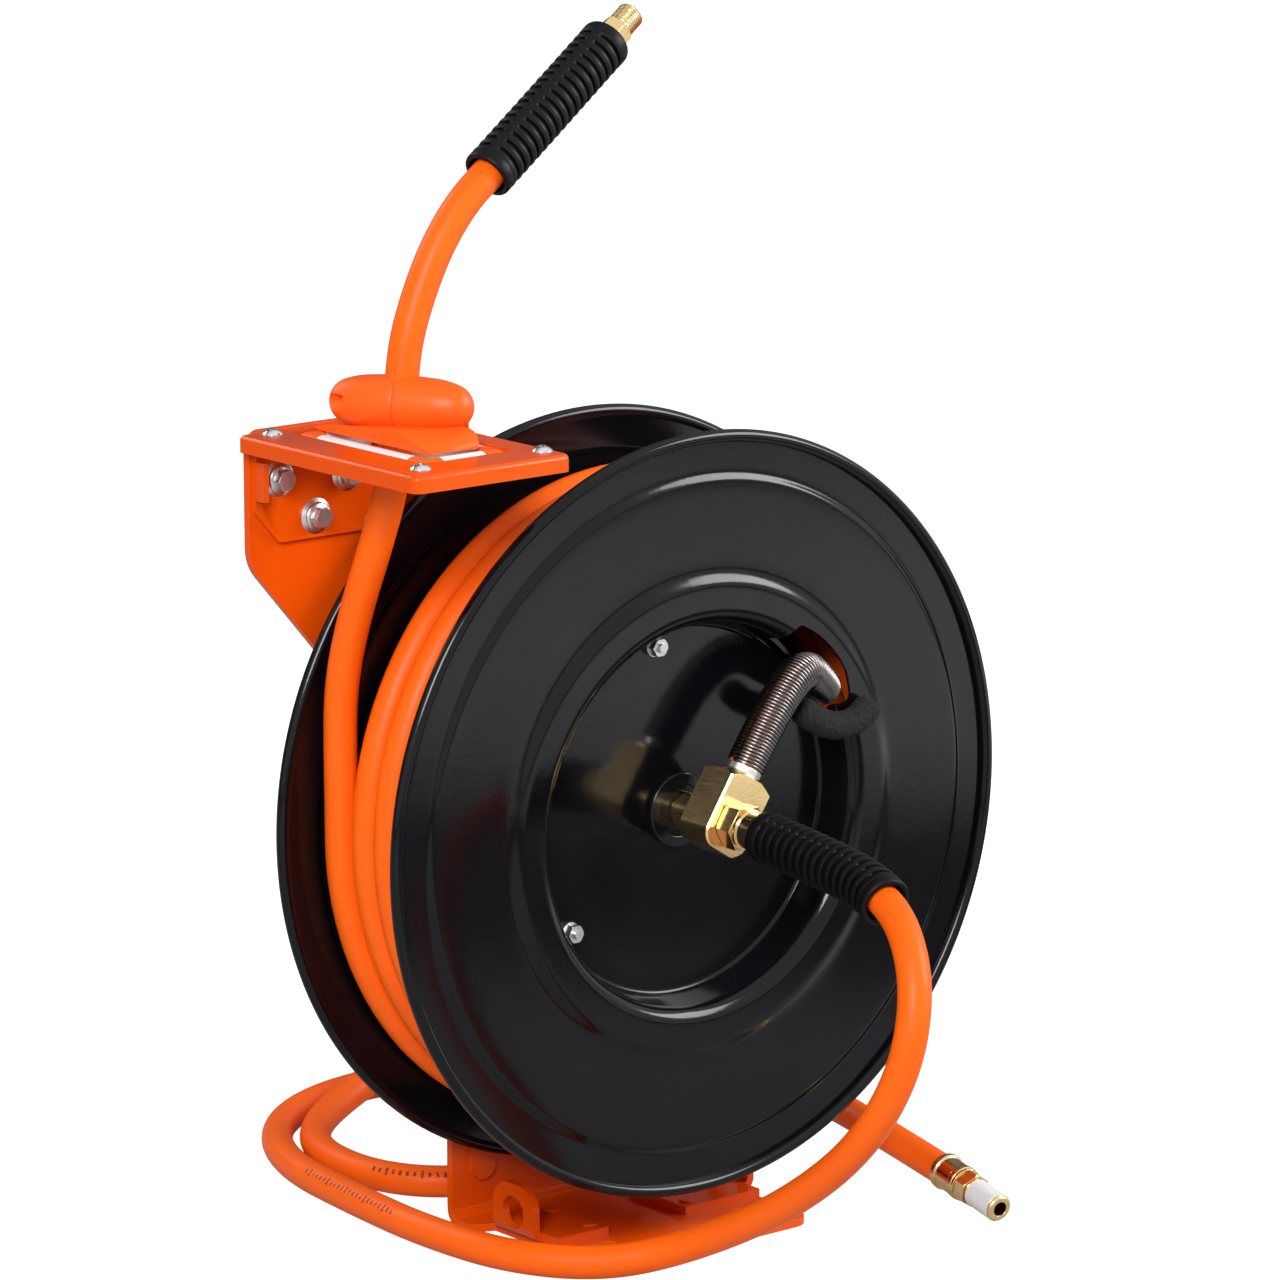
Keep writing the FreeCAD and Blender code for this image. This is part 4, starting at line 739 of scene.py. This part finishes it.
def pale_alloy():
    """Satin nickel-plated ring."""
    finish = Finish("pale_alloy", (0.80, 0.80, 0.78), 0.3, 1.0)
    finish.put("Roughness", 0.22 + finish.noise(900.0, 2.0) * 0.2)
    return finish.material


wire = spring_wire()
dressed("guard_ferrule", pale_alloy(), "drum", ease=0.0003)
port_turn = math.radians(57.0)
port_way = np.array([math.cos(port_turn), 0.0, math.sin(port_turn)])
port_centre = np.array([0.0, -0.0560, axle_height])
guard_start = 0.0280
guard_straight_end = 0.0845
guard_points = [
    tuple(port_centre + port_way * guard_start),
    tuple(port_centre + port_way * guard_straight_end),
    (0.0800, -0.0370, axle_height + 0.0515),
    (0.0980, -0.0250, axle_height + 0.0320),
    (0.1080, -0.0180, axle_height + 0.0100),
]
guard_line = smooth_line(guard_points, 0.0015)
guard_hose = tube("guarded_hose_cover", guard_line, hose_radius, sides=24, start=(0.0, 1.0, 0.0))
take(guard_hose, hose_material, "drum", ["guard_hose"])


def wound_wire(name, line, length, radius, wire_radius, turns, sides=8, steps=30):
    """Round wire as a helix about a line, from its start to a given length along it."""
    way, side, other = frames(line, (0.0, 1.0, 0.0))
    reach = lengths_along(line)
    count = int(turns * steps)
    along = np.linspace(wire_radius, length - wire_radius, count)
    spin = np.linspace(0, 2 * math.pi * turns, count)[:, None]
    centre, across, above = (read_at(along, reach, rows) for rows in (line, side, other))
    helix = centre + radius * (across * np.cos(spin) + above * np.sin(spin))
    return tube(name, helix, wire_radius, sides=sides, start=tuple(way[0]))


guard_length = 0.0920
guard_coils = 56
coil_radius = 0.00868
guard_wire_radius = 0.00078
guard = wound_wire(
    "guard_coils", guard_line, guard_length, coil_radius, guard_wire_radius, guard_coils,
)
take(guard, wire, "drum", ["guard_spring"])
dressed("power_spring", wire, "drum", ease=0.0)


# Opening's edging: a strip of black foam pushed over the lower edge of the opening, so that the
# guard doesn't rub on the sheet there.
def black_foam():
    """Open-cell foam: fuzzy black with a coarse broken surface."""
    finish = Finish("black_foam", (0.012, 0.012, 0.013), 0.95, IOR=1.3)
    cells = finish.noise(900.0, 5.0)
    finish.put("Base Color", finish.mix(cells, (0.004, 0.004, 0.005), (0.035, 0.035, 0.038)))
    finish.bump(cells, 0.0009)
    return finish.material


foam_points = [
    (0.0530, -0.0500, 0.2575),
    (0.0580, -0.0515, 0.2530),
    (0.0663, -0.0520, 0.2478),
    (0.0771, -0.0520, 0.2444),
    (0.0864, -0.0520, 0.2451),
    (0.0941, -0.0515, 0.2487),
    (0.0990, -0.0505, 0.2535),
]
foam_spacing = 0.0006
foam_radius = 0.0066
foam_rounding = 0.0042
foam_fuzz = 0.00022
foam_tip = 0.0002
foam_line = smooth_line(foam_points, foam_spacing)
foam_steps = np.arange(len(foam_line))
foam_end = np.minimum(foam_steps, foam_steps[::-1]) * foam_spacing
foam_reach = foam_radius * np.sqrt(1 - np.clip(1 - (foam_end + foam_tip) / foam_rounding, 0, 1) ** 2)
foam = tube("foam_edging", foam_line, foam_reach, sides=72, start=(0.0, 1.0, 0.0))
foam_skin = mesh_points(foam.data)
fuzz = np.random.default_rng(7).normal(0.0, foam_fuzz, foam_skin.shape)
foam.data.vertices.foreach_set("co", (foam_skin + fuzz).ravel())
take(foam, black_foam(), "drum", ["opening_trim"])


# Rubber: ribbed bend sleeves on the two hose ends, moulded with a seam along each side, and the
# swivel's seals.
def black_rubber():
    """Moulded rubber: dull black, finely pitted, with faint clouds of dust."""
    finish = Finish("black_rubber", (0.003, 0.003, 0.004), 0.5, IOR=1.25)
    grain = finish.noise(1600.0, 3.0)
    dust = finish.noise(80.0, 4.0)
    finish.put("Base Color", finish.mix(dust, (0.0015, 0.0015, 0.002), (0.004, 0.004, 0.005)))
    finish.put("Roughness", 0.34 + grain * 0.2)
    finish.bump(grain, 0.00005)
    return finish.material


rubber = black_rubber()
dressed("swivel_seals", rubber, "frame", ease=0.0)

base_collar = 0.0070
mouth_collar = 0.0045
web_turn = 0.45
web_radius = 0.0119
web_start = 0.965
web_fade = 0.012
rib_share = np.array([0.03, 0.08, 0.34, 0.39, 0.46, 0.58, 0.70, 0.82, 0.94])
rib_radii = np.array([0.0119, 0.0104, 0.0103, 0.0117, 0.01205, 0.0122, 0.0123, 0.0122, 0.0120])
foot_z = [0.0, 0.0, 0.0004, 0.0012, 0.0035, base_collar - 0.0004]
foot_radii = [0.0095, 0.0113, 0.0119, 0.0122, 0.0123, 0.0122]
lip_depth = np.array([mouth_collar - 0.0003, 0.0012, 0.0003, 0.0, 0.0, 0.0004, 0.0040, 0.0150])
lip_radii = [0.0122, 0.0122, 0.0119, 0.0115, 0.0102, 0.0098, 0.0094, 0.0080]


def ribbed_sleeve(name, line, base, tip, ribs, nodes):
    """A tube open at its tip: a base collar, then a groove and a round rib by turns, then a mouth.
    Two webs along its sides fill the grooves where the mould parts."""
    lengths = lengths_along(line)
    length = abs(tip - base)
    pitch = (length - base_collar - mouth_collar) / ribs
    rib_z = (base_collar + pitch * (np.arange(ribs)[:, None] + rib_share)).ravel()
    z = np.concatenate([foot_z, rib_z, length - lip_depth])
    r = np.concatenate([foot_radii, np.tile(rib_radii, ribs), lip_radii])
    at = base + z * np.sign(tip - base)
    centre = read_at(at, lengths, line)
    _, side, other = (read_at(at, lengths, rows) for rows in frames(line, (0.62, 0.75, -0.21)))
    turn = np.linspace(0, 2 * math.pi, 64, endpoint=False)
    web = np.clip((np.abs(np.sin(turn + web_turn)) - web_start) / web_fade, 0, 1)
    grooved = (r < web_radius) & (z > base_collar) & (z < length - mouth_collar)
    filled = np.where(grooved, web_radius - r, 0.0)
    radius = (r[:, None] + filled[:, None] * web)[:, :, None]
    points = centre[:, None] + radius * (
        side[:, None] * np.cos(turn)[:, None] + other[:, None] * np.sin(turn)[:, None]
    )
    piece = surface(name, points)
    piece.data.set_sharp_from_angle(angle=math.radians(50))
    return take(piece, rubber, "frame", nodes)


inlet_sleeve_base = 0.0040
inlet_sleeve_tip = 0.0960
inlet_ribs = 15
ribbed_sleeve(
    "inlet_sleeve_ribs", lead_line, inlet_sleeve_base, inlet_sleeve_tip, inlet_ribs, ["inlet_sleeve"],
)
past_hose = 0.0190
outlet_tail = np.concatenate([run_line, [run_line[-1] + outlet_way * past_hose]])
tail_length = lengths_along(outlet_tail)[-1]
outlet_sleeve_base = tail_length - 0.0010
outlet_sleeve_tip = tail_length - 0.1040
outlet_ribs = 17
ribbed_sleeve(
    "outlet_sleeve_ribs", outlet_tail, outlet_sleeve_base, outlet_sleeve_tip, outlet_ribs,
    ["outlet_sleeve"],
)


# Hose ends: brass fittings crimped in the sleeves and on the lead-in's end, its thread wrapped
# with white sealing tape.
def white_tape():
    """Thin white tape wound over a thread: uneven where its laps wrinkle."""
    finish = Finish("white_tape", (0.86, 0.86, 0.88), 0.45, IOR=1.35)
    laps = finish.noise(350.0, 4.0)
    finish.put("Base Color", finish.mix(laps, (0.74, 0.74, 0.76), (0.92, 0.92, 0.93)))
    finish.bump(finish.noise(500.0, 3.0), 0.00025)
    return finish.material


for node in ("outlet_ferrule", "outlet_plug", "lead_in_ferrule", "lead_in_plug"):
    dressed(node, brass, "frame", ease=0.0002)
dressed("thread_tape", white_tape(), "frame", ease=0.0002)


# Guide rollers: four turned nylon rollers, each free on its steel pin in the tray, so that the
# hose runs between them without rubbing.
def white_nylon():
    """Turned nylon: white, satin, a little scuffed along its length."""
    finish = Finish("white_nylon", (0.84, 0.85, 0.88), 0.35, IOR=1.5)
    scuff = finish.noise(200.0, 4.0, stretch=(1.0, 0.2, 1.0))
    finish.put("Base Color", finish.mix(scuff, (0.76, 0.77, 0.80), (0.90, 0.91, 0.93)))
    finish.put("Roughness", 0.26 + scuff * 0.2)
    return finish.material


nylon = white_nylon()
for side in ("left", "right", "front", "back"):
    dressed(f"roller_{side}", nylon, f"{side}_roller_body", ease=0.0004)


# Guide bolts: three zinc-plated hexagon bolts with round flanges, which hold the tray to the arm.
# Their heads are drawn in to the size that a flange bolt's hexagon has.
guide_bolts = dressed("guide_bolts", zinc, "frame", ease=0.00025)
bolt_places = ((-0.175, 0.380), (-0.136, 0.378), (-0.154, 0.360))
bracket_face = 0.0500
head_share = 0.68
head_reach = 0.012
flange_depths = (0.0, 0.0006, 0.0011, 0.0016)
bolt_flange_radii = np.array([0.0068, 0.0068, 0.0064, 0.0058])
bolt_skin = mesh_points(guide_bolts.data)
for number, (x, z) in enumerate(bolt_places):
    axis = (x, 0, z)
    aside = np.hypot(bolt_skin[:, 0] - x, bolt_skin[:, 2] - z)
    head = (aside < head_reach) & (bolt_skin[:, 1] < bracket_face - 0.0005)
    bolt_skin[head] = (bolt_skin[head] - axis) * (head_share, 1, head_share) + axis
    line = np.array([(x, bracket_face - depth, z) for depth in flange_depths])
    flange = tube(f"guide_bolt_flange_{number + 1}", line, bolt_flange_radii, sides=48)
    take(flange, zinc, "frame")
guide_bolts.data.vertices.foreach_set("co", bolt_skin.ravel())


# Moulded plastic: the roller blocks in the tray's corners, drawn from block_foot up, the hose stop
# in two halves screwed together round the hose, and the saddle that it comes to rest on.
def orange_plastic():
    """Injection-moulded orange plastic: satin, with a faint flow mottle and a fine texture."""
    finish = Finish("orange_plastic", (0.90, 0.110, 0.008), 0.3, IOR=1.33)
    flow = finish.noise(35.0, 4.0)
    finish.put("Base Color", finish.mix(flow, (0.85, 0.095, 0.005), (0.94, 0.130, 0.010)))
    finish.put("Roughness", 0.34 + finish.noise(500.0, 3.0) * 0.12)
    finish.bump(finish.noise(1200.0, 2.0), 0.00003)
    return finish.material


plastic_orange = orange_plastic()
blocks = dressed("guide_blocks", plastic_orange, "frame", ease=0.0003)
block_foot = (0.0, 0.0, 0.3952)
shape = bmesh.new()
shape.from_mesh(blocks.data)
whole = list(shape.verts) + list(shape.edges) + list(shape.faces)
sliced = bmesh.ops.bisect_plane(
    shape, geom=whole, plane_co=block_foot, plane_no=(0.0, 0.0, 1.0), clear_inner=True,
)
rims = [item for item in sliced["geom_cut"] if isinstance(item, bmesh.types.BMEdge)]
bmesh.ops.holes_fill(shape, edges=rims)
shape.to_mesh(blocks.data)
shape.free()

stop_centre = np.array([-0.14335, -0.00075, 0.4184])
stop_way = np.array([0.5, -math.sqrt(0.75), 0.0])
stop_side = np.array([-math.sqrt(0.75), -0.5, 0.0])
stop_half = 0.035
stop_profile = np.array([
    (0.0, 0.0132),
    (0.010, 0.01305),
    (0.020, 0.01225),
    (0.028, 0.01015),
    (0.03175, 0.0078),
    (0.035, 0.0),
])


def stop_radius(along):
    """Radius of the stop's shell at a distance along its axis: its squares join up in a curve."""
    at, radius = stop_profile.T
    return np.sqrt(np.maximum(np.interp(along, at, radius ** 2), 0))


def smoothed(values, rounds):
    """The values with each inner one drawn to the mean of its neighbours, several times over."""
    for _ in range(rounds):
        inner = (values[:-2] + 2 * values[1:-1] + values[2:]) / 4
        values = np.concatenate([values[:1], inner, values[-1:]])
    return values


bore_gap = 0.0001
bore = tube("stop_bore", run_line[10:-8], hose_radius + bore_gap, sides=32)
well_offset = 0.0086
well_radius = 0.0044
well_start = 0.0245
well_end = 0.0450
well_depth = np.linspace(well_start, well_end, 5)[:, None]
well_line = stop_centre + stop_side * well_offset - stop_way * well_depth
well = tube("stop_well", well_line, well_radius, sides=40)
parting_gap = 0.00012
parting_step = 0.0003
tip_gap = 0.00002
for name, way, node in (
    ("stop_shell_left", -1, "stop_half_left"),
    ("stop_shell_right", 1, "stop_half_right"),
):
    share = 1 - (1 - np.linspace(0, 1, 90)) ** 2
    along = parting_gap + share * (stop_half - parting_gap - tip_gap)
    radius = smoothed(stop_radius(along), 30)
    radius[0] -= parting_step
    line = stop_centre + stop_way * (way * along)[:, None]
    shell = tube(name, line, radius, sides=72)
    normals_out(shell)
    cut(shell, bore)
    if way < 0:
        cut(shell, well)
    take(shell, plastic_orange, "frame", [node])
bpy.data.objects.remove(bore)
bpy.data.objects.remove(well)
screw_offset = 0.0104
screw_half = 0.0150
screw_radius = 0.0013
for name, side, nodes in (("stop_screw_front", 1, ["stop_screws"]), ("stop_screw_back", -1, [])):
    middle = stop_centre + stop_side * side * screw_offset
    line = middle + stop_way * np.linspace(-screw_half, screw_half, 4)[:, None]
    screw = tube(name, line, screw_radius, sides=16)
    take(screw, zinc, "frame", nodes)

saddle_x = np.linspace(-0.1620, -0.1320, 49)
saddle_y = np.linspace(-0.0450, 0.0430, 121)
saddle_base = 0.4032
left_y = (-0.0450, -0.0435, -0.0310, -0.0170, 0.0010, 0.0290, 0.0430)
left_rise = (0.0008, 0.0012, 0.0052, 0.0076, 0.0066, 0.0036, 0.0008)
right_y = (-0.0450, -0.0430, -0.0380, -0.0200, 0.0100, 0.0300, 0.0430)
right_rise = (0.0020, 0.0056, 0.0076, 0.0080, 0.0066, 0.0034, 0.0008)
narrowing = 0.10
narrowing_reach = 0.006
front_narrowing_y = -0.0390
back_narrowing_y = 0.0370
left = smoothed(np.interp(saddle_y, left_y, left_rise), 60)
right = smoothed(np.interp(saddle_y, right_y, right_rise), 12)
share = (saddle_x - saddle_x[0]) / (saddle_x[-1] - saddle_x[0])
cover = saddle_base + left[:, None] * (1 - share) + right[:, None] * share
spot = np.stack(np.broadcast_arrays(saddle_x[None, :], saddle_y[:, None]), axis=2) - stop_centre[:2]
along = np.abs(spot @ stop_way[:2])
aside = spot @ stop_side[:2]
under = stop_centre[2] - np.sqrt(np.maximum(stop_radius(along) ** 2 - aside ** 2, 0))
under = np.where(stop_radius(along) > np.abs(aside), under, 1.0)
cover = np.minimum(cover, under - 0.0001)
past_front = np.clip((front_narrowing_y - saddle_y) / narrowing_reach, 0, 1)
past_back = np.clip((saddle_y - back_narrowing_y) / narrowing_reach, 0, 1)
width = 1 - narrowing * past_front ** 2 - narrowing * past_back ** 2
middle = saddle_x.mean()
x = middle + (saddle_x[None, :] - middle) * width[:, None]
y = np.broadcast_to(saddle_y[:, None], x.shape)
top = np.stack([x, y, cover], axis=2)
foot = np.stack([x, y, np.full(x.shape, saddle_base)], axis=2)
saddle = surface("stop_saddle", np.concatenate([top, foot[:, ::-1]], axis=1), caps=True)
normals_out(saddle)
saddle.data.set_sharp_from_angle(angle=math.radians(50))
take(saddle, plastic_orange, "frame", ["stop_bumper"])


# Guide screws: four chromed pan-head screws with a crossed recess, which hold the roller blocks
# up into the tray.
def bright_chrome():
    """Chrome plate: a bright mirror whose gloss varies finely."""
    finish = Finish("bright_chrome", (0.72, 0.73, 0.75), 0.12, 1.0)
    finish.put("Roughness", 0.07 + finish.noise(800.0, 4.0) * 0.14)
    return finish.material


dressed("guide_screws", bright_chrome(), "frame", ease=0.0002)

# Studio: an even white room, dimmer to the back where gloss mirrors it, and three soft lamps: one
# in front on each side and a weak one behind.
room_light = 0.28
dim_share = 0.14
air = bpy.data.worlds.new("studio_air")
bpy.context.scene.world = air
air.use_nodes = True
room = Nodes(air.node_tree)
sky = air.node_tree.nodes["Background"]
seen = room.node("LightPath", output="Is Camera Ray")
mirrored = room.node("LightPath", output="Is Glossy Ray")
either = seen.math("MAXIMUM", mirrored)
level = room.node("MapRange", {}, {"Value": either, "To Min": room_light}, output="Result")
direction = room.node("TexCoord", output="Generated")
behind = room.node("SeparateXYZ", {}, {0: direction}, output="Y") * mirrored
fade = {"Value": behind, "From Min": 0.1, "From Max": 0.6, "To Min": 1.0, "To Max": dim_share}
room.fill(sky.inputs["Strength"], level * room.node("MapRange", {}, fade, output="Result"))
sky.inputs["Color"].default_value = (1.0, 1.0, 1.0, 1.0)

lamp_target = Vector((0.0, 0.0, 0.22))
for name, place, size, power in (
    ("left_lamp", (-1.7, -1.4, 1.5), 0.9, 57.0),
    ("right_lamp", (1.55, -1.25, 1.25), 1.0, 42.0),
    ("back_lamp", (-0.6, 1.6, 1.4), 0.9, 10.0),
):
    data = bpy.data.lights.new(name, "AREA")
    data.size = size
    data.energy = power
    lamp = bpy.data.objects.new(name, data)
    lamp.location = place
    lamp.rotation_euler = (lamp_target - Vector(place)).to_track_quat("-Z", "Y").to_euler()
    bpy.context.scene.collection.objects.link(lamp)


# Floor: white paper that glows just enough to look white to the camera and keeps the reel's
# shadow. The dark and the pale band towards the front right show only in what the reel mirrors
# and in the light thrown back on it.
def floor_paper():
    """Paper whose colour follows the distance along floor_way, where no camera ray meets it."""
    finish = Finish("floor_paper", (0.8, 0.8, 0.8), 0.9)
    by_camera = finish.node("LightPath", output="Is Camera Ray")
    dot = {0: finish.place(), 1: floor_way}
    distance = finish.node("VectorMath", {"operation": "DOT_PRODUCT"}, dot, output="Value")
    shade = finish.node("ValToRGB", {"stops": floor_bands}, {0: distance * (1.0 - by_camera)})
    finish.put("Base Color", shade)
    bare = Wire(finish, finish.shader.outputs[0])
    glow = finish.node("Emission", {}, {"Strength": floor_glow})
    lit = finish.node("AddShader", {}, {0: bare, 1: glow})
    shown = finish.node("MixShader", {}, {0: by_camera, 1: bare, 2: lit})
    finish.fill(finish.tree.nodes["Material Output"].inputs["Surface"], shown)
    return finish.material


floor_reach = 6.0
floor_glow = 0.90
floor_way = (0.386, -0.3175, 0.0)
floor_bands = (
    (0.20, (0.5, 0.5, 0.5)),
    (0.29, (0.04, 0.04, 0.045)),
    (0.42, (0.04, 0.04, 0.04)),
    (0.47, (0.6, 0.6, 0.6)),
    (0.58, (0.9, 0.9, 0.9)),
    (0.85, (0.75, 0.75, 0.75)),
)
floor_corners = [(x * floor_reach, y * floor_reach, 0) for x, y in ((-1, -1), (1, -1), (1, 1), (-1, 1))]
floor_mesh = bpy.data.meshes.new("floor")
floor_mesh.from_pydata(floor_corners, [], [(0, 1, 2, 3)])
floor_mesh.materials.append(floor_paper())
floor = bpy.data.objects.new("floor", floor_mesh)
bpy.context.scene.collection.objects.link(floor)
